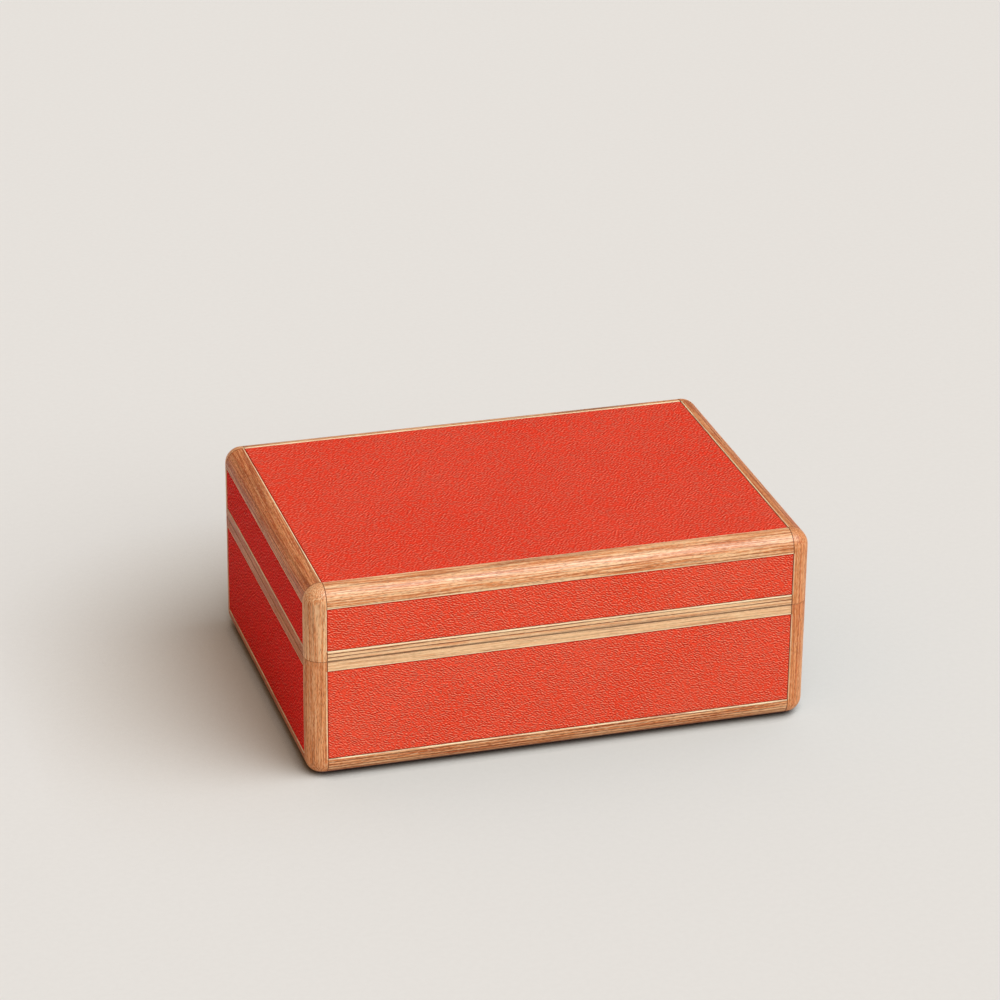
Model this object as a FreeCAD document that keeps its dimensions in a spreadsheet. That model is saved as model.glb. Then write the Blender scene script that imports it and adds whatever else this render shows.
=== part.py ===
"""Hinged keepsake box: a mahogany frame with leather-faced panels and a suede lining.

The lid and the base are each a frame of four posts, four rails and four rim strips. The frame holds
boards by tongues in its grooves. The boards carry leather outside and suede inside, and two brass
stop hinges join the halves at the back.

Millimetres. X runs along the front, Y from the front to the back, Z up. The origin is the middle of
the underside, on the surface that the box stands on.
"""

import FreeCAD, Part
import os
from dataclasses import dataclass

import Sketcher

SIZES = {
    # Whole box
    "box_length": 240.0,
    "box_depth": 172.0,
    "box_height": 95.0,
    "split_height": 59.4,
    "parting_gap": 0.2,
    "underside_lift": 0.4,
    # Wood frame, rounded along every outer edge
    "frame_width": 9.0,
    "edge_radius": 8.0,
    "top_rail_height": 9.6,
    "bottom_rail_height": 9.5,
    "rim_height": 5.0,
    # Grooves in the frame and the tongues that sit in them
    "groove_width": 2.2,
    "groove_depth": 1.6,
    "groove_lip": 2.2,
    "groove_stop": 1.5,
    "tongue_clearance": 0.1,
    # Boards and the skins outside them
    "leather_thickness": 1.2,
    "leather_gap": 0.1,
    "top_board_thickness": 7.0,
    "bottom_board_thickness": 7.6,
    "underside_thickness": 1.0,
    # Suede lining
    "lining_thickness": 1.2,
    "lining_setback": 0.6,
    "floor_lining_thickness": 2.0,
    # Stop hinges
    "hinge_length": 32.0,
    "hinge_spacing": 132.0,
    "hinge_axis_offset": 0.8,
    "leaf_width": 7.8,
    "leaf_thickness": 2.5,
    "knuckle_radius": 2.0,
    "knuckle_gap": 0.2,
    "knuckle_clearance": 0.15,
    "pin_radius": 0.8,
    "pin_clearance": 0.04,
    "stop_angle": 95.0,
    "stop_play": 1.0,
    "mortise_clearance": 0.1,
    # Hinge screws
    "screw_spacing": 18.0,
    "screw_setback": 3.3,
    "screw_length": 10.0,
    "screw_tip_length": 2.0,
    "screw_shank_radius": 0.9,
    "screw_head_radius": 1.7,
    "screw_head_depth": 0.9,
    "screw_slot_width": 0.5,
    "screw_slot_depth": 0.4,
    "screw_clearance": 0.05,
    # How far a cut runs past the face that it opens
    "overrun": 1.0,
}

KNUCKLE_COUNT = 5

# Distances from the middle planes
LENGTH_HALF = "(sizes.box_length / 2)"
DEPTH_HALF = "(sizes.box_depth / 2)"
INNER_LENGTH_HALF = "(sizes.box_length / 2 - sizes.frame_width)"
INNER_DEPTH_HALF = "(sizes.box_depth / 2 - sizes.frame_width)"

# Distances inward from an outer face
FRAME = "sizes.frame_width"
LEATHER = "sizes.leather_thickness"
GROOVE_NEAR = "(sizes.frame_width - sizes.groove_lip - sizes.groove_width)"
GROOVE_FAR = "(sizes.frame_width - sizes.groove_lip)"
TONGUE_NEAR = f"({GROOVE_NEAR} + sizes.tongue_clearance)"
TONGUE_FAR = f"({GROOVE_FAR} - sizes.tongue_clearance)"
PANEL_GROOVE = "(sizes.frame_width - sizes.groove_depth)"
LINING_FAR = "(sizes.frame_width + sizes.lining_thickness)"

# Distances away from the parting plane
FACE = "(sizes.parting_gap / 2)"
RIM = "sizes.rim_height"
LEAF = "sizes.leaf_thickness"

# Lengths shared by several pieces
OVERRUN = "sizes.overrun"
CLEARANCE = "sizes.tongue_clearance"
GROOVE = "sizes.groove_depth"
TONGUE_REACH = "(sizes.groove_depth - sizes.tongue_clearance)"

# Hinge axis and the left hinge; the right one is its mirror image
AXIS_Y = "(sizes.box_depth / 2 + sizes.hinge_axis_offset)"
LEAF_SEAT_Y = f"({AXIS_Y} - sizes.leaf_width)"
HINGE_X = "(-sizes.hinge_spacing / 2)"
HINGE_LOW = "(-sizes.hinge_spacing / 2 - sizes.hinge_length / 2)"
HINGE_HIGH = "(-sizes.hinge_spacing / 2 + sizes.hinge_length / 2)"
KNUCKLE_PITCH = f"(sizes.hinge_length / {KNUCKLE_COUNT})"
STOP_SLOPE = "(1 / tan((sizes.stop_angle + sizes.stop_play) / 2))"
SCREW_Y = "(sizes.box_depth / 2 - sizes.screw_setback)"


@dataclass(frozen=True)
class Half:
    """The lid or the base, with every level measured away from the parting plane."""

    name: str
    side: int
    height: str
    rail: str
    board: str
    board_near: str
    board_far: str
    skin: str
    skin_far: str
    lining: str
    lining_thickness: str

    @property
    def rail_face(self):
        """Level of the rail's face that meets the wall boards."""
        return f"({self.height} - {self.rail})"

    @property
    def board_middle(self):
        """Level of the middle of the top or bottom board."""
        return f"(({self.board_near} + {self.board_far}) / 2)"

    @property
    def lining_near(self):
        """Level of the ceiling's or the floor's lined face."""
        return f"({self.board_near} - {self.lining_thickness})"

    def at(self, level):
        """Height above the underside of a level."""
        return f"(sizes.split_height {'+' if self.side > 0 else '-'} {level})"

    def between(self, near, far):
        """Span in Z from the level near to the level far."""
        if self.side > 0:
            return self.at(near), self.at(far)
        return self.at(far), self.at(near)


LID_HEIGHT = "(sizes.box_height - sizes.split_height)"
LID = Half(
    name="lid",
    side=1,
    height=LID_HEIGHT,
    rail="sizes.top_rail_height",
    board="lid_top_board",
    board_near=f"({LID_HEIGHT} - {LEATHER} - sizes.top_board_thickness)",
    board_far=f"({LID_HEIGHT} - {LEATHER})",
    skin="lid_top_leather",
    skin_far=LID_HEIGHT,
    lining="lid_ceiling_lining",
    lining_thickness="sizes.lining_thickness",
)
BASE = Half(
    name="base",
    side=-1,
    height="(sizes.split_height - sizes.underside_lift)",
    rail="sizes.bottom_rail_height",
    board="base_bottom_board",
    board_near="(sizes.split_height - sizes.underside_thickness - sizes.bottom_board_thickness)",
    board_far="(sizes.split_height - sizes.underside_thickness)",
    skin="base_underside_cover",
    skin_far="sizes.split_height",
    lining="base_floor_lining",
    lining_thickness="sizes.floor_lining_thickness",
)


@dataclass(frozen=True)
class Wall:
    """One of the four walls: the axis that it runs along and the side that it stands on."""

    name: str
    along_x: bool
    side: int

    @property
    def run(self):
        """Half the wall's length between the posts."""
        return INNER_LENGTH_HALF if self.along_x else INNER_DEPTH_HALF


FRONT = Wall("front", True, -1)
BACK = Wall("back", True, 1)
LEFT = Wall("left", False, -1)
RIGHT = Wall("right", False, 1)
WALLS = (FRONT, BACK, LEFT, RIGHT)

doc = FreeCAD.newDocument("keepsake_box")
nodes = []


def write_sheet():
    """Put the driving sizes into the document's spreadsheet."""
    sheet = doc.addObject("Spreadsheet::Sheet", "sizes")
    for row, (alias, value) in enumerate(SIZES.items(), start=1):
        sheet.set(f"A{row}", alias)
        sheet.set(f"B{row}", str(value))
        sheet.setAlias(f"B{row}", alias)
    doc.recompute()


def centred(half):
    """Span of that length to each side of a middle plane."""
    return f"-{half}", half


def inward(side, half, near, far):
    """Span from near to far, measured inward from the outer face on one side."""
    if side < 0:
        return f"-{half} + {near}", f"-{half} + {far}"
    return f"{half} - {far}", f"{half} - {near}"


def around(middle, half):
    """Span of that length to each side of a middle."""
    return f"({middle} - {half})", f"({middle} + {half})"


def bind_place(solid, x, y, z):
    """Tie where a solid starts to the sheet."""
    for axis, place in zip("xyz", (x, y, z)):
        solid.setExpression(f"Placement.Base.{axis}", place)


def block(name, x, y, z):
    """Box that fills three spans."""
    solid = doc.addObject("Part::Box", name)
    for size, (low, high) in zip(("Length", "Width", "Height"), (x, y, z)):
        solid.setExpression(size, f"({high}) - ({low})")
    bind_place(solid, x[0], y[0], z[0])
    return solid


def wall_block(name, wall, run, reach, levels):
    """Box in a wall: run to each side of its middle, reach inward from its outer face."""
    if wall.along_x:
        return block(name, centred(run), inward(wall.side, DEPTH_HALF, *reach), levels)
    return block(name, inward(wall.side, LENGTH_HALF, *reach), centred(run), levels)


def fuse(name, *solids):
    """Union of several solids."""
    union = doc.addObject("Part::MultiFuse", name)
    union.Shapes = list(solids)
    union.Refine = True
    return union


def common(name, base, tool):
    """What two solids share."""
    shared = doc.addObject("Part::Common", name)
    shared.Base = base
    shared.Tool = tool
    return shared


def cut(name, base, *tools):
    """The base less every tool."""
    rest = doc.addObject("Part::Cut", name)
    rest.Base = base
    rest.Tool = tools[0] if len(tools) == 1 else fuse(f"{name}_cuts", *tools)
    return rest


def mirrored_pair(name, solid):
    """A solid and its mirror image across the middle of the box, kept as separate solids."""
    twin = doc.addObject("Part::Mirroring", f"{name}_twin")
    twin.Source = solid
    twin.Normal = FreeCAD.Vector(1, 0, 0)
    pair = doc.addObject("Part::Compound", name)
    pair.Links = [solid, twin]
    return pair


def keep(solid):
    """Count a document object as one of the box's pieces."""
    nodes.append(solid)


def plane_of(body, role):
    """One of a body's own origin planes."""
    return next(plane for plane in body.Origin.OriginFeatures if plane.Role == role)


def outline_sketch(body, name, role, corners):
    """Closed outline of straight sides on one of the body's planes, each corner tied to the sheet."""
    sketch = body.newObject("Sketcher::SketchObject", name)
    sketch.AttachmentSupport = [(plane_of(body, role), "")]
    sketch.MapMode = "FlatFace"
    starts = [FreeCAD.Vector(0, 0), FreeCAD.Vector(1, 0), FreeCAD.Vector(1, 1), FreeCAD.Vector(0, 1)]
    for start, end in zip(starts, starts[1:] + starts[:1]):
        sketch.addGeometry(Part.LineSegment(start, end))
    for side in range(len(corners)):
        following = (side + 1) % len(corners)
        sketch.addConstraint(Sketcher.Constraint("Coincident", side, 2, following, 1))
    for side, (across, up) in enumerate(corners):
        for kind, label, place in (("DistanceX", "across", across), ("DistanceY", "up", up)):
            start = starts[side].x if kind == "DistanceX" else starts[side].y
            index = sketch.addConstraint(Sketcher.Constraint(kind, side, 1, start))
            sketch.renameConstraint(index, f"{label}_{side}")
            sketch.setExpression(f"Constraints.{label}_{side}", place)
    return sketch


def rounded_envelope(half):
    """Outside of one half: its upright edges and the edges of its far end are rounded."""
    body = doc.addObject("PartDesign::Body", f"{half.name}_envelope")
    low, high = half.between(FACE, half.height)
    corners = [
        (f"-{LENGTH_HALF}", f"-{DEPTH_HALF}"),
        (LENGTH_HALF, f"-{DEPTH_HALF}"),
        (LENGTH_HALF, DEPTH_HALF),
        (f"-{LENGTH_HALF}", DEPTH_HALF),
    ]
    sketch = outline_sketch(body, f"{half.name}_envelope_outline", "XY_Plane", corners)
    sketch.setExpression("AttachmentOffset.Base.z", low)
    pad = body.newObject("PartDesign::Pad", f"{half.name}_envelope_pad")
    pad.Profile = sketch
    pad.setExpression("Length", f"{high} - {low}")
    doc.recompute()
    middle = pad.Shape.BoundBox.Center.z
    rounded = [
        f"Edge{number}"
        for number, edge in enumerate(pad.Shape.Edges, start=1)
        if half.side * (edge.BoundBox.ZMax if half.side > 0 else edge.BoundBox.ZMin) > half.side * middle
    ]
    fillet = body.newObject("PartDesign::Fillet", f"{half.name}_envelope_fillet")
    fillet.Base = (pad, rounded)
    fillet.setExpression("Radius", "sizes.edge_radius")
    return body


def build_posts(half, envelope):
    """Four corner posts, each with a stopped groove in its two inner faces."""
    levels = half.between(FACE, half.height)
    groove_levels = half.between("sizes.groove_stop", f"({half.height} - {GROOVE_NEAR})")
    across = (PANEL_GROOVE, f"({FRAME} + {OVERRUN})")
    for depth_wall in (FRONT, BACK):
        for length_wall in (LEFT, RIGHT):
            node = f"{half.name}_{depth_wall.name}_{length_wall.name}_post"
            x_side = (length_wall.side, LENGTH_HALF)
            y_side = (depth_wall.side, DEPTH_HALF)
            blank = block(f"{node}_blank", inward(*x_side, "0", FRAME), inward(*y_side, "0", FRAME), levels)
            wall_groove = block(
                f"{node}_{depth_wall.name}_groove",
                inward(*x_side, *across),
                inward(*y_side, GROOVE_NEAR, GROOVE_FAR),
                groove_levels,
            )
            side_groove = block(
                f"{node}_{length_wall.name}_groove",
                inward(*x_side, GROOVE_NEAR, GROOVE_FAR),
                inward(*y_side, *across),
                groove_levels,
            )
            rounded = common(f"{node}_rounded", blank, envelope)
            keep(cut(node, rounded, wall_groove, side_groove))


def with_tenons(node, wall, solid, levels):
    """A rail or rim with a stub tenon at each end, made as one bar that runs right through it."""
    tenon_run = f"({wall.run} + {TONGUE_REACH})"
    bar = wall_block(f"{node}_tenons", wall, tenon_run, (TONGUE_NEAR, TONGUE_FAR), levels)
    return fuse(f"{node}_tenoned", solid, bar)


def build_rails(half, envelope):
    """Four rounded rails, grooved for the wall board and for the top or bottom board."""
    levels = half.between(half.rail_face, half.height)
    tenon_near = f"({half.rail_face} + {GROOVE} + {CLEARANCE})"
    tenon_levels = half.between(tenon_near, f"({half.height} - {TONGUE_NEAR})")
    wall_levels = half.between(f"({half.rail_face} - {OVERRUN})", f"({half.rail_face} + {GROOVE})")
    panel_levels = half.between(*around(half.board_middle, "sizes.groove_width / 2"))
    for wall in WALLS:
        node = f"{half.name}_{wall.name}_rail"
        blank = wall_block(f"{node}_blank", wall, wall.run, ("0", FRAME), levels)
        rail = with_tenons(node, wall, common(f"{node}_rounded", blank, envelope), tenon_levels)
        wall_groove = wall_block(
            f"{node}_wall_groove", wall, wall.run, (GROOVE_NEAR, GROOVE_FAR), wall_levels
        )
        panel_groove = wall_block(
            f"{node}_panel_groove", wall, wall.run, (PANEL_GROOVE, f"({FRAME} + {OVERRUN})"), panel_levels
        )
        keep(cut(node, rail, wall_groove, panel_groove))


def build_rims(half, hinge_cuts):
    """Four rim strips at the parting line, grooved for the wall board; the back one takes the hinges."""
    levels = half.between(FACE, RIM)
    tenon_levels = half.between(f"(sizes.groove_stop + {CLEARANCE})", f"({RIM} - {GROOVE} - {CLEARANCE})")
    groove_levels = half.between(f"({RIM} - {GROOVE})", f"({RIM} + {OVERRUN})")
    for wall in WALLS:
        node = f"{half.name}_{wall.name}_rim"
        blank = wall_block(f"{node}_blank", wall, wall.run, ("0", FRAME), levels)
        rim = with_tenons(node, wall, blank, tenon_levels)
        groove = wall_block(f"{node}_groove", wall, wall.run, (GROOVE_NEAR, GROOVE_FAR), groove_levels)
        keep(cut(node, rim, groove, *(hinge_cuts if wall is BACK else ())))


def build_wall_boards(half, screw_holes):
    """Four boards with a tongue on every edge; the back one takes the ends of the hinge screws."""
    levels = half.between(RIM, half.rail_face)
    tongue_levels = half.between(f"({RIM} - {TONGUE_REACH})", f"({half.rail_face} + {TONGUE_REACH})")
    tongue = (TONGUE_NEAR, TONGUE_FAR)
    for wall in WALLS:
        node = f"{half.name}_{wall.name}_board"
        parts = (
            wall_block(f"{node}_core", wall, wall.run, (LEATHER, FRAME), levels),
            wall_block(f"{node}_end_tongues", wall, f"({wall.run} + {TONGUE_REACH})", tongue, levels),
            wall_block(f"{node}_edge_tongues", wall, wall.run, tongue, tongue_levels),
        )
        if wall is BACK:
            keep(cut(node, fuse(f"{node}_tongued", *parts), screw_holes))
        else:
            keep(fuse(node, *parts))


def build_wall_skins(half):
    """Leather on the outside of each wall board and suede on the inside of each wall."""
    leather_near = f"({RIM} + sizes.leather_gap)"
    leather_levels = half.between(leather_near, f"({half.rail_face} - sizes.leather_gap)")
    lining_levels = half.between(f"({FACE} + sizes.lining_setback)", half.lining_near)
    for wall in WALLS:
        node = f"{half.name}_{wall.name}"
        leather_run = f"({wall.run} - sizes.leather_gap)"
        keep(wall_block(f"{node}_leather", wall, leather_run, ("0", LEATHER), leather_levels))
        lining_run = wall.run if wall.along_x else f"({wall.run} - sizes.lining_thickness)"
        keep(wall_block(f"{node}_lining", wall, lining_run, (FRAME, LINING_FAR), lining_levels))


def build_panel(half):
    """Top or bottom board with a tongue on every edge, its outer skin and its lining."""
    levels = half.between(half.board_near, half.board_far)
    tongue_half = "(sizes.groove_width / 2 - sizes.tongue_clearance)"
    tongue_levels = half.between(*around(half.board_middle, tongue_half))
    inner_x = centred(INNER_LENGTH_HALF)
    inner_y = centred(INNER_DEPTH_HALF)
    tongue_x = centred(f"({INNER_LENGTH_HALF} + {TONGUE_REACH})")
    tongue_y = centred(f"({INNER_DEPTH_HALF} + {TONGUE_REACH})")
    core = block(f"{half.board}_core", inner_x, inner_y, levels)
    end_tongues = block(f"{half.board}_end_tongues", tongue_x, inner_y, tongue_levels)
    edge_tongues = block(f"{half.board}_edge_tongues", inner_x, tongue_y, tongue_levels)
    keep(fuse(half.board, core, end_tongues, edge_tongues))
    skin_x = centred(f"({INNER_LENGTH_HALF} - sizes.leather_gap)")
    skin_y = centred(f"({INNER_DEPTH_HALF} - sizes.leather_gap)")
    keep(block(half.skin, skin_x, skin_y, half.between(half.board_far, half.skin_far)))
    keep(block(half.lining, inner_x, inner_y, half.between(half.lining_near, half.board_near)))


def hinge_rod(name, radius, x):
    """Cylinder on the hinge axis."""
    rod = doc.addObject("Part::Cylinder", name)
    rod.Placement = FreeCAD.Placement(FreeCAD.Vector(), FreeCAD.Rotation(FreeCAD.Vector(0, 1, 0), 90))
    rod.setExpression("Radius", radius)
    rod.setExpression("Height", f"({x[1]}) - ({x[0]})")
    bind_place(rod, x[0], AXIS_Y, "sizes.split_height")
    return rod


def stand(solid, half, x, near):
    """Stand a round solid of a screw on a level, pointing away from the parting plane."""
    turn = FreeCAD.Rotation(FreeCAD.Vector(1, 0, 0), 0 if half.side > 0 else 180)
    solid.Placement = FreeCAD.Placement(FreeCAD.Vector(), turn)
    bind_place(solid, x, SCREW_Y, half.at(near))
    return solid


def cone(name, near_radius, far_radius, height):
    """Cone with its sizes tied to the sheet."""
    solid = doc.addObject("Part::Cone", name)
    solid.setExpression("Radius1", near_radius)
    solid.setExpression("Radius2", far_radius)
    solid.setExpression("Height", height)
    return solid


def cylinder(name, radius, height):
    """Cylinder with its sizes tied to the sheet."""
    solid = doc.addObject("Part::Cylinder", name)
    solid.setExpression("Radius", radius)
    solid.setExpression("Height", height)
    return solid


def screw_places():
    """Name and place in X of each screw of the left hinge."""
    low, high = around(HINGE_X, "sizes.screw_spacing / 2")
    return ("outer", low), ("inner", high)


def build_screw_holes(half):
    """Countersunk holes of the left hinge's screws in one half, through leaf, rim and board."""
    shank = "(sizes.screw_shank_radius + sizes.screw_clearance)"
    head = "(sizes.screw_head_radius + sizes.screw_clearance)"
    depth = "(sizes.overrun + sizes.screw_length + sizes.screw_clearance)"
    holes = []
    for place, x in screw_places():
        name = f"{half.name}_{place}_screw_hole"
        sink = cone(f"{name}_sink", head, shank, "sizes.screw_head_depth")
        bore = cylinder(f"{name}_bore", shank, depth)
        holes.append(stand(sink, half, x, FACE))
        holes.append(stand(bore, half, x, f"({FACE} - {OVERRUN})"))
    return fuse(f"{half.name}_screw_holes", *holes)


def build_screws(half):
    """Slotted countersunk screws of both hinges in one half."""
    shank_length = "(sizes.screw_length - sizes.screw_tip_length)"
    screws = []
    for place, x in screw_places():
        name = f"{half.name}_{place}_screw"
        radius = "sizes.screw_shank_radius"
        head = cone(f"{name}_head", "sizes.screw_head_radius", radius, "sizes.screw_head_depth")
        shank = cylinder(f"{name}_shank", radius, shank_length)
        tip = cone(f"{name}_tip", radius, "0", "sizes.screw_tip_length")
        solid = fuse(
            f"{name}_solid",
            stand(head, half, x, FACE),
            stand(shank, half, x, FACE),
            stand(tip, half, x, f"({FACE} + {shank_length})"),
        )
        slot = block(
            f"{name}_slot",
            around(x, f"(sizes.screw_head_radius + {OVERRUN})"),
            around(SCREW_Y, "sizes.screw_slot_width / 2"),
            half.between(f"({FACE} - {OVERRUN})", f"({FACE} + sizes.screw_slot_depth)"),
        )
        screws.append(cut(name, solid, slot))
    pair = doc.addObject("Part::Compound", f"{half.name}_left_screws")
    pair.Links = screws
    keep(mirrored_pair(f"{half.name}_hinge_screws", pair))


def build_mortise(half):
    """Seat of the left hinge's leaf in the back rim of one half."""
    return block(
        f"{half.name}_mortise",
        around(HINGE_X, "(sizes.hinge_length / 2 + sizes.mortise_clearance)"),
        (f"({LEAF_SEAT_Y} - sizes.mortise_clearance)", f"({DEPTH_HALF} + {OVERRUN})"),
        half.between(f"({FACE} - {OVERRUN})", LEAF),
    )


def build_leaves(half, screw_holes):
    """Hinge leaves of one half, each with a sloped heel that stops the lid and its own knuckles."""
    body = doc.addObject("PartDesign::Body", f"{half.name}_leaf_plate")
    corners = [
        (LEAF_SEAT_Y, half.at(FACE)),
        (f"({AXIS_Y} + {FACE} * {STOP_SLOPE})", half.at(FACE)),
        (f"({AXIS_Y} + {LEAF} * {STOP_SLOPE})", half.at(LEAF)),
        (LEAF_SEAT_Y, half.at(LEAF)),
    ]
    sketch = outline_sketch(body, f"{half.name}_leaf_outline", "YZ_Plane", corners)
    sketch.setExpression("AttachmentOffset.Base.z", HINGE_LOW)
    pad = body.newObject("PartDesign::Pad", f"{half.name}_leaf_pad")
    pad.Profile = sketch
    pad.setExpression("Length", "sizes.hinge_length")
    own = 0 if half is BASE else 1
    swept_radius = "(sizes.knuckle_radius + sizes.knuckle_clearance)"
    solids = [body]
    cuts = [screw_holes]
    for number in range(KNUCKLE_COUNT):
        low = f"({HINGE_LOW} + {number} * {KNUCKLE_PITCH})"
        high = f"({HINGE_LOW} + {number + 1} * {KNUCKLE_PITCH})"
        gap = "sizes.knuckle_gap / 2"
        if number % 2 == own:
            span = (f"({low} + {gap})", f"({high} - {gap})")
            solids.append(hinge_rod(f"{half.name}_knuckle_{number}", "sizes.knuckle_radius", span))
        else:
            span = (f"({low} - {gap})", f"({high} + {gap})")
            cuts.append(hinge_rod(f"{half.name}_knuckle_slot_{number}", swept_radius, span))
    bore_x = (f"({HINGE_LOW} - {OVERRUN})", f"({HINGE_HIGH} + {OVERRUN})")
    cuts.append(hinge_rod(f"{half.name}_pin_bore", "(sizes.pin_radius + sizes.pin_clearance)", bore_x))
    leaf = fuse(f"{half.name}_leaf_solid", *solids)
    for number, tool in enumerate(cuts, start=1):
        leaf = cut(f"{half.name}_leaf_cut_{number}", leaf, tool)
    keep(mirrored_pair(f"{half.name}_hinge_leaves", leaf))


def build_half(half):
    """Everything that belongs to the lid or to the base."""
    envelope = rounded_envelope(half)
    screw_holes = build_screw_holes(half)
    both_holes = mirrored_pair(f"{half.name}_all_screw_holes", screw_holes)
    both_mortises = mirrored_pair(f"{half.name}_mortises", build_mortise(half))
    build_posts(half, envelope)
    build_rails(half, envelope)
    build_rims(half, (both_mortises, both_holes))
    build_wall_boards(half, both_holes)
    build_wall_skins(half)
    build_panel(half)
    build_leaves(half, screw_holes)
    build_screws(half)


def check_pieces():
    """Stop if any object failed or any piece is empty, broken or not made of whole solids."""
    for thing in doc.Objects:
        if "Invalid" in thing.State or "Error" in thing.State:
            raise RuntimeError(f"{thing.Label} failed: {thing.State}")
    for piece in nodes:
        shape = piece.Shape
        if shape.isNull() or not shape.isValid() or not shape.Solids:
            raise RuntimeError(f"{piece.Label} has no valid solid")
        print(f"{piece.Label}: {len(shape.Solids)} solids, {shape.Volume:.1f} cubic mm")


write_sheet()
for box_half in (BASE, LID):
    build_half(box_half)
keep(mirrored_pair("hinge_pins", hinge_rod("left_hinge_pin", "sizes.pin_radius", (HINGE_LOW, HINGE_HIGH))))
doc.recompute()
check_pieces()
os.makedirs("parts", exist_ok=True)
for node_object in nodes:
    node_object.Shape.exportStep(f"parts/{node_object.Label}.step")
print(f"{len(nodes)} pieces written")
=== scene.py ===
"""Looks of a hinged keepsake box: mahogany mouldings, grained red leather, suede inside, brass hinges.

Lengths are in metres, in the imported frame: X along the front, Y to the hinged back, Z up. Every stick of
wood, leather panel and suede panel is modelled again with eased edges, at the size of its CAD node, and
takes that node's place. The hidden boards and the hinges keep their CAD shape and get a finish here.
"""

from __future__ import annotations

import logging
import math
import random
from collections.abc import Callable, Iterator, Mapping, Sequence
from dataclasses import dataclass
from enum import Enum

import bmesh
import bpy
from mathutils import Matrix, Vector, noise

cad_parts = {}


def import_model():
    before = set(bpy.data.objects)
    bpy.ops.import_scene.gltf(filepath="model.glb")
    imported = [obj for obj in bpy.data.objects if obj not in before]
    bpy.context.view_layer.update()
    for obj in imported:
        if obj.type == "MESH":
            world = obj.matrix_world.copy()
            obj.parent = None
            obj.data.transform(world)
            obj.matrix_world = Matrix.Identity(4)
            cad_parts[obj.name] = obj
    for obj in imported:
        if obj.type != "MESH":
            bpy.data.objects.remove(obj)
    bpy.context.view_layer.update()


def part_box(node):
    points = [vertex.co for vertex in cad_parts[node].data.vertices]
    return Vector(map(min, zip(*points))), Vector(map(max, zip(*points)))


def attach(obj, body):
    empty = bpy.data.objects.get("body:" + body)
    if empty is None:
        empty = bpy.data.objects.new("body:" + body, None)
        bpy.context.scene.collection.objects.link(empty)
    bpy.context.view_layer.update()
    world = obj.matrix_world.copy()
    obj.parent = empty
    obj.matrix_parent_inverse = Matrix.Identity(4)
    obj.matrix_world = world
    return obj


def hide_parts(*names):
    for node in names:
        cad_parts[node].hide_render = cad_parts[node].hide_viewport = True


LOG = logging.getLogger("keepsake_box")
MM = 0.001
SAME_SPOT = 0.001 * MM

Colour = tuple[float, float, float]
Triple = tuple[float, float, float]
Node = bpy.types.Node
Socket = bpy.types.NodeSocket
Tree = bpy.types.NodeTree
Solid = bmesh.types.BMesh
Feed = float | Sequence[float] | Socket


# Names of the parts of the box


class Half(Enum):
    """The two halves that the hinges join; each is also the name of its body."""

    LID = "lid"
    BASE = "base"

    @property
    def away(self) -> int:
        """Sign in Z that leads away from the parting line."""
        return 1 if self is Half.LID else -1


class Wall(Enum):
    """The four walls: name in the frame, axis that the outer face looks along and its sign on that axis."""

    FRONT = ("front", 1, -1)
    BACK = ("back", 1, 1)
    LEFT = ("left", 0, -1)
    RIGHT = ("right", 0, 1)

    def __init__(self, word: str, facing: int, side: int) -> None:
        """Keep the three values, and the axis that the wall runs along.

        Args:
            word: the wall's name in the frame.
            facing: axis that its outer face looks along.
            side: sign of the face on that axis.
        """
        self.word = word
        self.facing = facing
        self.side = side
        self.run = 1 - facing


class Slot(Enum):
    """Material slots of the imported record."""

    MAHOGANY = "mahogany"
    PLYWOOD = "plywood"
    LEATHER = "red_leather"
    LINING = "lining_suede"
    UNDERSIDE = "underside_suede"
    BRASS = "brass"
    STEEL = "pin_steel"


class Surface(Enum):
    """Where a finish takes its texture coordinates from."""

    GRAIN = "grain laid along the piece when it is modelled"
    OBJECT = "the frame's own coordinates"


# Values kept with a piece's mesh, which its finish reads

GRAIN = "grain"
TONE = "tone"
FIGURE = "figure"
ARRIS = "arris"

# Marks on an edge: the pale ones paint a highlight, -0.9 is dark dirt in the joints and -1 paints shade

PALE = 1.0
HALF_PALE = 0.5
FAINTLY_PALE = 0.4
PLAIN = 0.0
JOINT_DIRT = -0.9
PAINTED_SHADE = -1.0


# Building node trees


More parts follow.
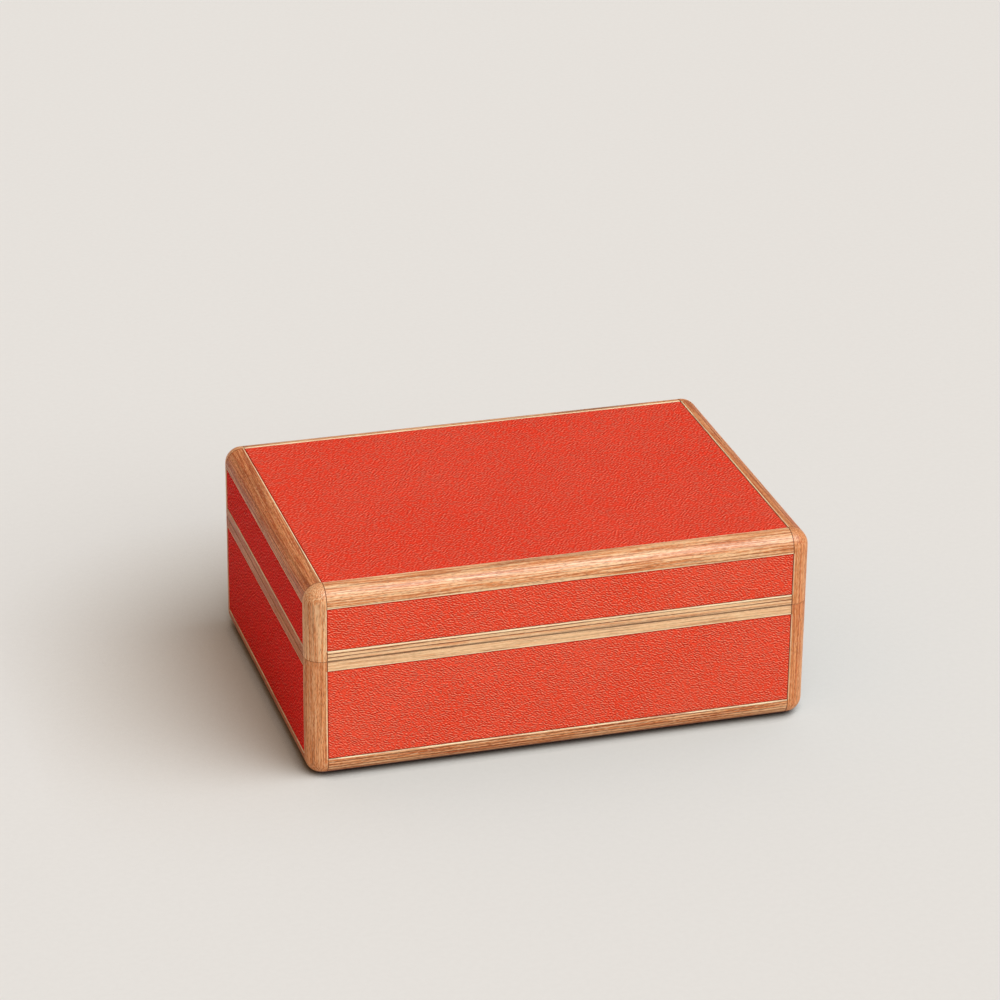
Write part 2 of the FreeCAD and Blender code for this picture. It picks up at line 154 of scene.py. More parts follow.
class Graph:
    """Shorthand for adding nodes to one node tree."""

    def __init__(self, tree: Tree) -> None:
        """Work on that tree."""
        self.tree = tree

    @classmethod
    def blank(cls, holder: bpy.types.Material | bpy.types.World) -> Graph:
        """Start the nodes of a material or a world afresh.

        Args:
            holder: the material or world.

        Returns:
            Its graph.
        """
        holder.use_nodes = True
        holder.node_tree.nodes.clear()
        return cls(holder.node_tree)

    def fill(self, node: Node, inputs: Mapping[str | int, Feed]) -> None:
        """Link inputs of a node, or set their values.

        Args:
            node: the node.
            inputs: an output to link, a number, a vector or a colour for each input, by name or number.
        """
        for key, value in inputs.items():
            socket = node.inputs[key]
            if isinstance(value, Socket):
                self.tree.links.new(value, socket)
            else:
                socket.default_value = (*value, 1.0) if socket.type == "RGBA" else value

    def add(self, kind: str, inputs: Mapping[str | int, Feed] | None = None, **settings: object) -> Node:
        """Add a node.

        Args:
            kind: Blender's name for the node type.
            inputs: what goes into its inputs, by name or number.
            settings: attributes of the node.

        Returns:
            The new node.
        """
        node = self.tree.nodes.new(kind)
        for name, value in settings.items():
            setattr(node, name, value)
        self.fill(node, inputs or {})
        return node

    def math(self, operation: str, first: Feed, second: Feed = 0.0) -> Socket:
        """Output of a Math node."""
        return self.add("ShaderNodeMath", {0: first, 1: second}, operation=operation).outputs[0]

    def times(self, first: Feed, second: Feed) -> Socket:
        """Product of two numbers."""
        return self.math("MULTIPLY", first, second)

    def plus(self, first: Feed, second: Feed) -> Socket:
        """Sum of two numbers."""
        return self.math("ADD", first, second)

    def vector(self, x: Feed, y: Feed, z: Feed) -> Socket:
        """Vector of three numbers."""
        return self.add("ShaderNodeCombineXYZ", {"X": x, "Y": y, "Z": z}).outputs[0]

    def scaled(self, vector: Feed, scale: Feed) -> Socket:
        """A vector multiplied axis by axis."""
        return self.add("ShaderNodeVectorMath", {0: vector, 1: scale}, operation="MULTIPLY").outputs[0]

    def remap(self, value: Feed, low: float, high: float, to_low: Feed = 0.0, to_high: Feed = 1.0) -> Socket:
        """A value carried smoothly from the range low to high into to_low to to_high, held beyond it."""
        inputs = {"Value": value, "From Min": low, "From Max": high, "To Min": to_low, "To Max": to_high}
        return self.add("ShaderNodeMapRange", inputs, interpolation_type="SMOOTHSTEP").outputs[0]

    def mix(self, factor: Feed, first: Feed, second: Feed, blend: str = "MIX") -> Socket:
        """Two colours mixed, with factor the share of the second."""
        inputs = {0: factor, 6: first, 7: second}
        return self.add("ShaderNodeMix", inputs, data_type="RGBA", blend_type=blend).outputs[2]

    def attribute(self, name: str) -> Socket:
        """A number kept with the mesh, 0 where the mesh has none."""
        return self.add("ShaderNodeAttribute", attribute_name=name).outputs["Fac"]

    def noise(self, vector: Feed, pace: Feed, detail: float, roughness: float = 0.5) -> Socket:
        """Soft noise from 0 to 1, with pace the features per unit of the vector, axis by axis."""
        inputs = {"Vector": self.scaled(vector, pace), "Scale": 1.0, "Detail": detail, "Roughness": roughness}
        return self.add("ShaderNodeTexNoise", inputs).outputs[0]


class Effect(Enum):
    """Shader effects that are kept as node groups."""

    WOOD_FIGURE = "wood_figure"
    HIDE_GRAIN = "hide_grain"
    SUEDE_NAP = "suede_nap"
    EDGE_WEAR = "edge_wear"
    MOTTLE = "mottle"


# Features per metre along a piece's grain and across it

WANDER_PACE = (14.0, 110.0, 110.0)
STREAK_PACE = (26.0, 1700.0, 1700.0)
VEIN_PACE = (34.0, 2100.0, 2100.0)
PORE_PACE = (420.0, 3300.0, 3300.0)
FIGURE_PACE = (16.0, 160.0, 160.0)
BRUSH_PACE = (36.0, 60.0, 60.0)
FUZZ_PACE = (1900.0, 2600.0, 2600.0)
WEAR_PACE = (420.0, 420.0, 420.0)
DRAW_LINE_PACE = (60.0, 6000.0, 6000.0)

# Waves in one spot of a hide's ridges, and how far they agree in direction, from 0 to 1

RIDGES = 1.25
RIDGE_ORDER = 0.5

# Where most of a soft noise lies, and how often a worn edge is looked for

NOISE_SPREAD = (0.3, 0.7)
WEAR_SAMPLES = 6


class EffectLibrary:
    """The shader node groups, each built when a material first asks for it."""

    @classmethod
    def place(cls, graph: Graph, effect: Effect, **inputs: Feed) -> bpy.types.bpy_prop_collection:
        """Put an effect into a material with its own values.

        Args:
            graph: the material's nodes.
            effect: which effect.
            inputs: values or links for the group's inputs, with underscores for spaces.

        Returns:
            The group's outputs, by name.
        """
        builders = {
            Effect.WOOD_FIGURE: cls._wood_figure,
            Effect.HIDE_GRAIN: cls._hide_grain,
            Effect.SUEDE_NAP: cls._suede_nap,
            Effect.EDGE_WEAR: cls._edge_wear,
            Effect.MOTTLE: cls._mottle,
        }
        group = bpy.data.node_groups.get(effect.value) or builders[effect]()
        named = {name.replace("_", " "): value for name, value in inputs.items()}
        return graph.add("ShaderNodeGroup", named, node_tree=group).outputs

    @staticmethod
    def _start(
        effect: Effect, inputs: Mapping[str, float | None], outputs: Sequence[str]
    ) -> tuple[Graph, bpy.types.bpy_prop_collection, Node]:
        """Begin a group.

        Args:
            effect: the effect that the group makes.
            inputs: each input's name and its usual value, or None for a vector.
            outputs: names of the outputs, all of them numbers.

        Returns:
            The group's graph, its inputs and the node that takes its outputs.
        """
        tree = bpy.data.node_groups.new(effect.value, "ShaderNodeTree")
        for name, value in inputs.items():
            kind = "NodeSocketVector" if value is None else "NodeSocketFloat"
            socket = tree.interface.new_socket(name=name, in_out="INPUT", socket_type=kind)
            if value is not None:
                socket.default_value = value
        for name in outputs:
            tree.interface.new_socket(name=name, in_out="OUTPUT", socket_type="NodeSocketFloat")
        graph = Graph(tree)
        return graph, graph.add("NodeGroupInput").outputs, graph.add("NodeGroupOutput")

    @classmethod
    def _wood_figure(cls) -> Tree:
        """Growth rings round a pith that runs along X, with streaks, thin dark veins and pores.

        Returns:
            The group, with Vector, Ring Width and Wave in metres.
        """
        inputs = {"Vector": None, "Ring Width": 2 * MM, "Wave": 0.9 * MM}
        outputs = ("Ring", "Streak", "Vein", "Pores", "Flecks", "Figure")
        graph, into, out = cls._start(Effect.WOOD_FIGURE, inputs, outputs)
        grain = into["Vector"]
        wander = graph.noise(grain, WANDER_PACE, 2.0)
        across = graph.scaled(grain, (0.0, 1.0, 1.0))
        radius = graph.add("ShaderNodeVectorMath", {0: across}, operation="LENGTH").outputs["Value"]
        bent = graph.plus(radius, graph.times(wander, into["Wave"]))
        turns = graph.math("DIVIDE", bent, into["Ring Width"])
        place = graph.math("FRACT", turns)
        number = graph.math("FLOOR", turns)
        weight = graph.add("ShaderNodeTexWhiteNoise", {"W": number}, noise_dimensions="1D").outputs["Value"]
        rise = graph.remap(place, 0.55, 0.86)
        fall = graph.remap(place, 0.88, 1.0, 1.0, 0.0)
        late = graph.times(graph.times(rise, fall), graph.remap(weight, 0.0, 1.0, 0.4, 1.3))
        streaks = graph.noise(grain, STREAK_PACE, 2.0, 0.6)
        veins = graph.noise(grain, VEIN_PACE, 1.0)
        pores = graph.noise(grain, PORE_PACE, 1.0)
        results = {
            "Ring": late,
            "Streak": graph.remap(streaks, 0.36, 0.64),
            "Vein": graph.remap(veins, 0.55, 0.68),
            "Pores": graph.remap(pores, 0.56, 0.68),
            "Flecks": graph.remap(pores, 0.44, 0.32),
            "Figure": graph.noise(grain, FIGURE_PACE, 2.0),
        }
        graph.fill(out, results)
        return graph.tree

    @classmethod
    def _hide_grain(cls) -> Tree:
        """Fine wavy ridges of a hide, drawn out along X, with Vector in metres in the plane of the panel.

        Returns:
            The group, with Spacing from ridge to ridge in metres and Stretch how drawn out they are.
        """
        inputs = {"Vector": None, "Spacing": 1.2 * MM, "Stretch": 1.3}
        graph, into, out = cls._start(Effect.HIDE_GRAIN, inputs, ("Relief",))
        across = graph.math("DIVIDE", 1.0 / RIDGES, into["Spacing"])
        along = graph.math("DIVIDE", across, into["Stretch"])
        waves = {
            "Vector": graph.scaled(into["Vector"], graph.vector(along, across, across)),
            "Scale": 1.0,
            "Frequency": RIDGES,
            "Anisotropy": RIDGE_ORDER,
            "Orientation": math.pi / 2,
        }
        ridge = graph.add("ShaderNodeTexGabor", waves, gabor_type="2D").outputs["Value"]
        graph.fill(out, {"Relief": graph.remap(ridge, 0.2, 0.8)})
        return graph.tree

    @classmethod
    def _suede_nap(cls) -> Tree:
        """Nap of a suede: cloudy brush marks and short fibres, with Vector in metres.

        Returns:
            The group.
        """
        graph, into, out = cls._start(Effect.SUEDE_NAP, {"Vector": None}, ("Brush", "Fuzz"))
        brush = graph.noise(into["Vector"], BRUSH_PACE, 4.0, 0.55)
        fuzz = graph.noise(into["Vector"], FUZZ_PACE, 3.0, 0.65)
        graph.fill(out, {"Brush": brush, "Fuzz": fuzz})
        return graph.tree

    @classmethod
    def _edge_wear(cls) -> Tree:
        """Broken mask along the edges of a piece.

        Returns:
            The group, with Reach how far the mask comes in from an edge, in metres.
        """
        inputs = {"Vector": None, "Reach": 0.4 * MM}
        graph, into, out = cls._start(Effect.EDGE_WEAR, inputs, ("Wear",))
        eased = graph.add("ShaderNodeBevel", {"Radius": into["Reach"]}, samples=WEAR_SAMPLES).outputs[0]
        true = graph.add("ShaderNodeNewGeometry").outputs["Normal"]
        match = graph.add("ShaderNodeVectorMath", {0: eased, 1: true}, operation="DOT_PRODUCT")
        edge = graph.remap(match.outputs["Value"], 0.80, 0.995, 1.0, 0.0)
        broken = graph.noise(into["Vector"], WEAR_PACE, 3.0)
        graph.fill(out, {"Wear": graph.times(edge, graph.remap(broken, 0.3, 0.6, 0.35, 1.0))})
        return graph.tree

    @classmethod
    def _mottle(cls) -> Tree:
        """Broad uneven patches with finer ones inside, with Vector in metres.

        Returns:
            The group, with Patch the usual width of a patch in metres.
        """
        graph, into, out = cls._start(Effect.MOTTLE, {"Vector": None, "Patch": 30 * MM}, ("Patches",))
        pace = graph.math("DIVIDE", 1.0, into["Patch"])
        patches = graph.noise(into["Vector"], graph.vector(pace, pace, pace), 5.0, 0.55)
        graph.fill(out, {"Patches": patches})
        return graph.tree


# Finishes


@dataclass(frozen=True)
class Finish:
    """What every finish has: its slot in the record and where its coordinates come from."""

    slot: Slot
    surface: Surface

    def build(self) -> bpy.types.Material:
        """Make the material.

        Returns:
            The material.
        """
        material = bpy.data.materials.new(self.slot.value)
        graph = Graph.blank(material)
        shader = graph.add("ShaderNodeBsdfPrincipled")
        graph.add("ShaderNodeOutputMaterial", {"Surface": shader.outputs[0]})
        self.dress(graph, shader)
        return material

    def vector(self, graph: Graph) -> Socket:
        """Texture coordinates.

        Args:
            graph: the material's nodes.

        Returns:
            The coordinates, in metres.
        """
        if self.surface is Surface.GRAIN:
            return graph.add("ShaderNodeAttribute", attribute_name=GRAIN).outputs["Vector"]
        return graph.add("ShaderNodeTexCoord").outputs["Object"]

    def dress(self, graph: Graph, shader: Node) -> None:
        """Fill the shader's sockets; each kind of finish has its own way."""
        raise NotImplementedError

    @staticmethod
    def quiet(graph: Graph, colour: Socket, bounce: Feed) -> Socket:
        """A colour that throws only a dull light on what is beside it, as under a broad studio light."""
        return graph.mix(graph.add("ShaderNodeLightPath").outputs["Is Diffuse Ray"], colour, bounce)

    @staticmethod
    def bump(graph: Graph, shader: Node, height: Feed, depth: float, strength: float = 1.0) -> None:
        """Raise the surface by a relief that is depth metres high where height is 1."""
        node = graph.add("ShaderNodeBump", {"Height": height, "Distance": depth, "Strength": strength})
        graph.fill(shader, {"Normal": node.outputs[0]})


@dataclass(frozen=True)
class WoodFinish(Finish):
    """Wood with rings, streaks and pores, under a satin lacquer or raw; marked arrises take painted
    highlights, dark joint dirt and painted shade.
    """

    pale: Colour
    middle: Colour
    deep: Colour
    # Dark colour of rings, veins and pores, also of joint dirt and of painted shade
    line: Colour
    # Colour of pale flecks, also of the painted highlight on marked arrises
    edge: Colour
    bounce: Colour
    ring_width: float
    roughness: float
    lacquer: float
    lacquer_roughness: float = 0.3
    gloss: float = 0.10
    patch: float = 22 * MM
    relief: float = 0.03 * MM
    relief_share: float = 0.7

    def dress(self, graph: Graph, shader: Node) -> None:
        """Colour from tone, streaks and rings, with darker veins and pores, painted highlights, joint dirt
        and painted shade.

        Args:
            graph: the material's nodes.
            shader: the shader.
        """
        grain = self.vector(graph)
        figure = EffectLibrary.place(graph, Effect.WOOD_FIGURE, Vector=grain, Ring_Width=self.ring_width)
        patches = EffectLibrary.place(graph, Effect.MOTTLE, Vector=grain, Patch=self.patch)["Patches"]
        tone = graph.attribute(TONE)
        rings = graph.attribute(FIGURE)
        arris = graph.attribute(ARRIS)
        streaks = graph.times(figure["Streak"], graph.remap(rings, 0.0, 0.8, 0.5, 0.75))
        sway = graph.plus(graph.times(figure["Figure"], 0.35), streaks)
        depth = graph.plus(tone, sway)
        light = graph.mix(graph.remap(depth, 0.0, 0.5), self.pale, self.middle)
        ground = graph.mix(graph.remap(depth, 0.5, 1.0), light, self.deep)
        broken = graph.times(figure["Ring"], graph.remap(figure["Streak"], 0.0, 0.8, 0.6, 1.0))
        ringed = graph.mix(graph.times(broken, rings), ground, self.line)
        veins = graph.times(figure["Vein"], graph.remap(rings, 0.0, 1.0, 0.42, 0.25))
        veined = graph.mix(veins, ringed, self.line)
        flecks = graph.times(figure["Flecks"], graph.remap(tone, 0.0, 0.3, 0.3, 0.1))
        flecked = graph.mix(flecks, veined, self.edge)
        pores = graph.times(figure["Pores"], graph.remap(tone, -0.45, 0.0, 0.2, 0.6))
        pored = graph.mix(pores, flecked, self.line)
        # Painted highlight on arrises marked pale, broken up by the patches
        highlight_share = graph.times(graph.remap(arris, PLAIN, PALE), graph.remap(patches, 0.35, 0.6, 0.4, 0.9))
        painted_marking = graph.mix(highlight_share, pored, self.edge)
        # Dark dirt in the joints, and painted shade on arrises marked for it
        dirt_and_shade = graph.mix(graph.remap(arris, PLAIN, PAINTED_SHADE), painted_marking, self.line)
        colour = self.quiet(graph, dirt_and_shade, self.bounce)
        smooth = graph.remap(patches, *NOISE_SPREAD, self.roughness - 0.06, self.roughness + 0.06)
        sockets = {
            "Base Color": colour,
            "Roughness": graph.plus(smooth, graph.times(figure["Pores"], 0.15)),
            "Specular IOR Level": self.gloss,
            "Coat Weight": self.lacquer,
            "Coat Roughness": self.lacquer_roughness,
        }
        graph.fill(shader, sockets)
        sunk = graph.plus(graph.times(figure["Pores"], -0.6), graph.times(figure["Vein"], -0.3))
        height = graph.plus(graph.times(figure["Streak"], 0.5), sunk)
        self.bump(graph, shader, height, self.relief, self.relief_share)


@dataclass(frozen=True)
class LeatherFinish(Finish):
    """Dyed hide with a pebbled grain."""

    body: Colour
    # Colour of the painted highlights on the crowns of the ridges, and a little of the slow patches
    crown: Colour
    # Darker colour of the valleys, also painted as shade where the panel rolls down at its edges
    valley: Colour
    # Deeper red painted as shade on panels with a high tone
    painted_shade_red: Colour
    bounce: Colour
    painted_shade_bounce: Colour
    spacing: float
    stretch: float
    roughness: float
    relief: float
    painted_shade_dip: float = 0.7
    gloss: float = 0.03
    patch: float = 40 * MM

    def dress(self, graph: Graph, shader: Node) -> None:
        """Darker valleys, painted highlights on the crowns, slow changes of colour, painted shade at the
        panel's edges and a deeper red painted as shade where the tone is high.

        Args:
            graph: the material's nodes.
            shader: the shader.
        """
        hide = self.vector(graph)
        ridges = {"Vector": hide, "Spacing": self.spacing, "Stretch": self.stretch}
        relief = EffectLibrary.place(graph, Effect.HIDE_GRAIN, **ridges)["Relief"]
        patches = EffectLibrary.place(graph, Effect.MOTTLE, Vector=hide, Patch=self.patch)["Patches"]
        shade = graph.mix(graph.remap(patches, *NOISE_SPREAD, 0.0, 0.1), self.body, self.crown)
        # Painted highlights on the crowns of the ridges
        crowned = graph.mix(graph.remap(relief, 0.6, 0.85), shade, self.crown)
        sunken = graph.mix(graph.remap(relief, 0.4, 0.1, 0.0, 0.9), crowned, self.valley)
        # Painted shade: the deeper red, darker in the valleys, with a few painted highlight specks on the
        # crowns
        sunk_painted_shade_red = tuple(self.painted_shade_dip * level for level in self.painted_shade_red)
        deep = graph.mix(graph.remap(relief, 0.15, 0.65), sunk_painted_shade_red, self.painted_shade_red)
        specked = graph.mix(graph.remap(relief, 0.7, 0.95, 0.0, 0.3), deep, self.crown)
        painted_shade_red = graph.mix(graph.attribute(TONE), sunken, specked)
        # Painted shade where the panel rolls down at its edges
        edge_shade_painted = graph.mix(graph.remap(graph.attribute(ARRIS), PLAIN, PAINTED_SHADE), painted_shade_red, self.valley)
        thrown = graph.mix(graph.attribute(TONE), self.bounce, self.painted_shade_bounce)
        sockets = {
            "Base Color": self.quiet(graph, edge_shade_painted, thrown),
            "Roughness": graph.remap(relief, 0.2, 0.9, self.roughness + 0.12, self.roughness - 0.05),
            "Specular IOR Level": self.gloss,
        }
        graph.fill(shader, sockets)
        self.bump(graph, shader, graph.times(relief, graph.attribute(FIGURE)), self.relief)


@dataclass(frozen=True)
class SuedeFinish(Finish):
    """Brushed suede."""

    body: Colour
    brushed: Colour
    shadow: Colour = (0.0, 0.0, 0.0)
    gloss: float = 0.15
    sheen: float = 0.25
    sheen_roughness: float = 0.5
    patch: float = 14 * MM
    relief: float = 0.12 * MM

    def dress(self, graph: Graph, shader: Node) -> None:
        """Cloudy brush marks, a fine fuzz and a soft sheen.

        Args:
            graph: the material's nodes.
            shader: the shader.
        """
        place = self.vector(graph)
        nap = EffectLibrary.place(graph, Effect.SUEDE_NAP, Vector=place)
        patches = EffectLibrary.place(graph, Effect.MOTTLE, Vector=place, Patch=self.patch)["Patches"]
        cloud = graph.plus(graph.times(nap["Brush"], 0.6), graph.times(patches, 0.4))
        colour = graph.mix(graph.remap(cloud, 0.35, 0.65), self.body, self.brushed)
        sockets = {
            "Base Color": graph.mix(graph.remap(nap["Fuzz"], *NOISE_SPREAD, 0.35, 0.0), colour, self.shadow),
            "Roughness": graph.remap(nap["Fuzz"], 0.2, 0.8, 0.85, 1.0),
            "Specular IOR Level": self.gloss,
            "Sheen Weight": self.sheen,
            "Sheen Roughness": self.sheen_roughness,
        }
        graph.fill(shader, sockets)
        self.bump(graph, shader, graph.plus(nap["Fuzz"], graph.times(nap["Brush"], 0.6)), self.relief)


@dataclass(frozen=True)
class MetalFinish(Finish):
    """Satin metal with fine draw lines along X."""

    body: Colour
    dulled: Colour
    roughness: float
    patch: float = 6 * MM
    wear_reach: float = 0.25 * MM
    relief: float = 0.008 * MM
    relief_share: float = 0.6

    def dress(self, graph: Graph, shader: Node) -> None:
        """Draw lines, duller patches and brighter edges.

        Args:
            graph: the material's nodes.
            shader: the shader.
        """
        place = self.vector(graph)
        patches = EffectLibrary.place(graph, Effect.MOTTLE, Vector=place, Patch=self.patch)["Patches"]
        wear = EffectLibrary.place(graph, Effect.EDGE_WEAR, Vector=place, Reach=self.wear_reach)["Wear"]
        lines = graph.noise(place, DRAW_LINE_PACE, 3.0, 0.6)
        dull = graph.mix(graph.remap(patches, 0.45, 0.75, 0.0, 0.7), self.body, self.dulled)
        colour = graph.mix(graph.times(wear, 0.6), dull, self.body)
        smooth = graph.remap(patches, 0.3, 0.75, self.roughness, self.roughness + 0.14)
        rough = graph.plus(smooth, graph.times(lines, 0.08))
        graph.fill(shader, {"Base Color": colour, "Roughness": rough, "Metallic": 1.0})
        self.bump(graph, shader, lines, self.relief, self.relief_share)


FINISHES: tuple[Finish, ...] = (
    WoodFinish(
        slot=Slot.MAHOGANY,
        surface=Surface.GRAIN,
        pale=(0.87, 0.56, 0.31),
        middle=(0.70, 0.270, 0.098),
        deep=(0.50, 0.115, 0.033),
        line=(0.19, 0.05, 0.017),
        edge=(0.95, 0.78, 0.50),
        bounce=(0.12, 0.07, 0.03),
        ring_width=1.5 * MM,
        roughness=0.40,
        lacquer=0.03,
    ),
    WoodFinish(
        slot=Slot.PLYWOOD,
        surface=Surface.OBJECT,
        pale=(0.66, 0.48, 0.29),
        middle=(0.56, 0.40, 0.23),
        deep=(0.46, 0.31, 0.17),
        line=(0.30, 0.19, 0.10),
        edge=(0.60, 0.44, 0.27),
        bounce=(0.50, 0.36, 0.21),
        ring_width=3.0 * MM,
        roughness=0.7,
        lacquer=0.0,
    ),
    LeatherFinish(
        slot=Slot.LEATHER,
        surface=Surface.GRAIN,
        body=(0.85, 0.063, 0.026),
        crown=(0.97, 0.260, 0.160),
        valley=(0.62, 0.020, 0.007),
        painted_shade_red=(0.93, 0.016, 0.011),
        bounce=(0.06, 0.035, 0.02),
        painted_shade_bounce=(0.50, 0.22, 0.06),
        spacing=0.95 * MM,
        stretch=1.3,
        roughness=0.62,
        relief=0.5 * MM,
    ),
    SuedeFinish(Slot.LINING, Surface.GRAIN, body=(0.50, 0.33, 0.19), brushed=(0.60, 0.42, 0.26)),
    SuedeFinish(Slot.UNDERSIDE, Surface.GRAIN, body=(0.17, 0.09, 0.05), brushed=(0.25, 0.145, 0.085)),
    MetalFinish(
        Slot.BRASS, Surface.OBJECT, body=(0.83, 0.60, 0.28), dulled=(0.58, 0.39, 0.17), roughness=0.26
    ),
    MetalFinish(
        Slot.STEEL, Surface.OBJECT, body=(0.62, 0.61, 0.60), dulled=(0.45, 0.44, 0.43), roughness=0.3
    ),
)


# Sizes of the box


@dataclass(frozen=True)
class HalfSizes:
    """Sizes and levels of one half, read from the frame."""

    half: Half
    length_half: float
    depth_half: float
    frame_width: float
    parting: float
    far: float
    rail_height: float
    rim_height: float

    @classmethod
    def read(cls, half: Half) -> HalfSizes:
        """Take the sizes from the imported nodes.

        Args:
            half: which half.

        Returns:
            Its sizes.
        """
        post_low, post_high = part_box(f"{half.value}_front_left_post")
        rail_low, rail_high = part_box(f"{half.value}_front_rail")
        rim_low, rim_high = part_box(f"{half.value}_front_rim")
        upright = half is Half.LID
        return cls(
            half=half,
            length_half=-post_low.x,
            depth_half=-post_low.y,
            frame_width=post_high.x - post_low.x,
            parting=post_low.z if upright else post_high.z,
            far=post_high.z if upright else post_low.z,
            rail_height=rail_high.z - rail_low.z,
            rim_height=rim_high.z - rim_low.z,
        )

    @property
    def height(self) -> float:
        """Height of the wood, from the parting face to the far end."""
        return abs(self.far - self.parting)

    def outer(self, axis: int) -> float:
        """Distance from the middle to the outer face along an axis."""
        return self.depth_half if axis else self.length_half

    def level(self, height: float) -> float:
        """Z of a height measured away from the parting face."""
        return self.parting + self.half.away * height

    def on_wall(self, wall: Wall, along: float, inward: float, height: float) -> Vector:
        """Point in a wall.

        Args:
            wall: which wall.
            along: place along the wall, from its middle.
            inward: distance in from the outer face.
            height: distance away from the parting face.

        Returns:
            The point in the frame.
        """
        point = Vector((0.0, 0.0, self.level(height)))
        point[wall.run] = along
        point[wall.facing] = wall.side * (self.outer(wall.facing) - inward)
        return point


# Making pieces


@dataclass(frozen=True)
class GrainLay:
    """How the grain lies in a piece: its axes as rows, its start, its tone and how clear its figure is."""

    axes: Matrix
    start: Vector
    tone: float
    figure: float


def put(name: str, data: bpy.types.ID) -> bpy.types.Object:
    """Put a new object into the scene.

    Args:
        name: its name.
        data: its mesh, lamp or camera.

    Returns:
        The object.
    """
    thing = bpy.data.objects.new(name, data)
    bpy.context.scene.collection.objects.link(thing)
    return thing


class Workshop:
    """Turns bare meshes into named pieces that ride on a body."""

    def __init__(self, materials: Mapping[Slot, bpy.types.Material]) -> None:
        """Keep the materials, and a list of the varnished pieces."""
        self.materials = materials
        self.varnished = bpy.data.collections.new("varnished")

    def dress_node(self, node: str, slot: Slot) -> None:
        """Give a CAD node, which keeps its shape, its finish.

        Args:
            node: the node's name.
            slot: the finish.
        """
        for place in bpy.data.objects[node].material_slots:
            place.material = self.materials[slot]
        LOG.info("%s keeps its CAD shape in %s", node, slot.value)

    def finish(
        self, solid: Solid, name: str, node: str, half: Half, slot: Slot, lay: GrainLay
    ) -> None:
        """Make a piece from a bare mesh.

        Args:
            solid: the closed mesh, in the frame, which is used up.
            name: the piece's name.
            node: the CAD node that it stands for.
            half: the body that it rides on.
            slot: its finish.
            lay: how its grain lies.
        """
        bmesh.ops.recalc_face_normals(solid, faces=solid.faces)
        mesh = bpy.data.meshes.new(name)
        solid.to_mesh(mesh)
        solid.free()
        mesh.polygons.foreach_set("use_smooth", [True] * len(mesh.polygons))
        laid = [part for vertex in mesh.vertices for part in lay.axes @ vertex.co + lay.start]
        mesh.attributes.new(GRAIN, "FLOAT_VECTOR", "POINT").data.foreach_set("vector", laid)
        for name_of_value, value in ((TONE, lay.tone), (FIGURE, lay.figure)):
            values = [value] * len(mesh.vertices)
            mesh.attributes.new(name_of_value, "FLOAT", "POINT").data.foreach_set("value", values)
        mesh.materials.append(self.materials[slot])
        piece = put(name, mesh)
        if slot is Slot.MAHOGANY:
            self.varnished.objects.link(piece)
        shading = piece.modifiers.new("shading", "WEIGHTED_NORMAL")
        shading.keep_sharp = True
        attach(piece, half.value)
        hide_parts(node)
        LOG.info("%s made for %s, %d faces", name, node, len(mesh.polygons))


SHARP_ANGLE = math.radians(35)
FLAT_ANGLE = math.radians(1)
EASE_STEPS = 2
ROUND_PROFILE = 0.5


def sharp_edges(solid: Solid) -> list[bmesh.types.BMEdge]:
    """Edges where two faces meet at a clear angle."""
    return [edge for edge in solid.edges if edge.is_manifold and edge.calc_face_angle() > SHARP_ANGLE]


def weld(solid: Solid) -> None:
    """Make points on the same spot one, and drop faces that vanish with it."""
    bmesh.ops.remove_doubles(solid, verts=solid.verts, dist=SAME_SPOT)


def ease(solid: Solid, edges: Sequence[bmesh.types.BMEdge], width: float) -> None:
    """Take the sharpness off some edges.

    Args:
        solid: the mesh, which is changed.
        edges: the edges.
        width: how far the easing comes in from an edge.
    """
    bmesh.ops.bevel(
        solid,
        geom=edges,
        offset=width,
        offset_type="OFFSET",
        segments=EASE_STEPS,
        profile=ROUND_PROFILE,
        affect="EDGES",
        clamp_overlap=True,
    )
    weld(solid)


def score(solid: Solid, point: Vector, normal: Vector) -> None:
    """Cut every face along the plane through a point, so that its two sides can be marked apart."""
    everything = [*solid.verts, *solid.edges, *solid.faces]
    bmesh.ops.bisect_plane(solid, geom=everything, dist=SAME_SPOT, plane_co=point, plane_no=normal)


def bridge(solid: Solid, near: Sequence[bmesh.types.BMVert], far: Sequence[bmesh.types.BMVert]) -> None:
    """Join two loops of as many points with faces.

    Args:
        solid: the mesh, which is changed.
        near: the first loop.
        far: the second one, in the same order.
    """
    for index in range(len(near)):
        after = (index + 1) % len(near)
        solid.faces.new((near[index], near[after], far[after], far[index]))


def loft(rings: Sequence[Sequence[Vector]]) -> Solid:
    """Closed solid through rings of points.

    Args:
        rings: rings with the same number of points, each in the same order.

    Returns:
        The solid, with its first and last ring as faces.
    """
    solid = bmesh.new()
    loops = [[solid.verts.new(point) for point in ring] for ring in rings]
    for near, far in zip(loops, loops[1:]):
        bridge(solid, near, far)
    solid.faces.new(loops[0])
    solid.faces.new(loops[-1])
    weld(solid)
    return solid


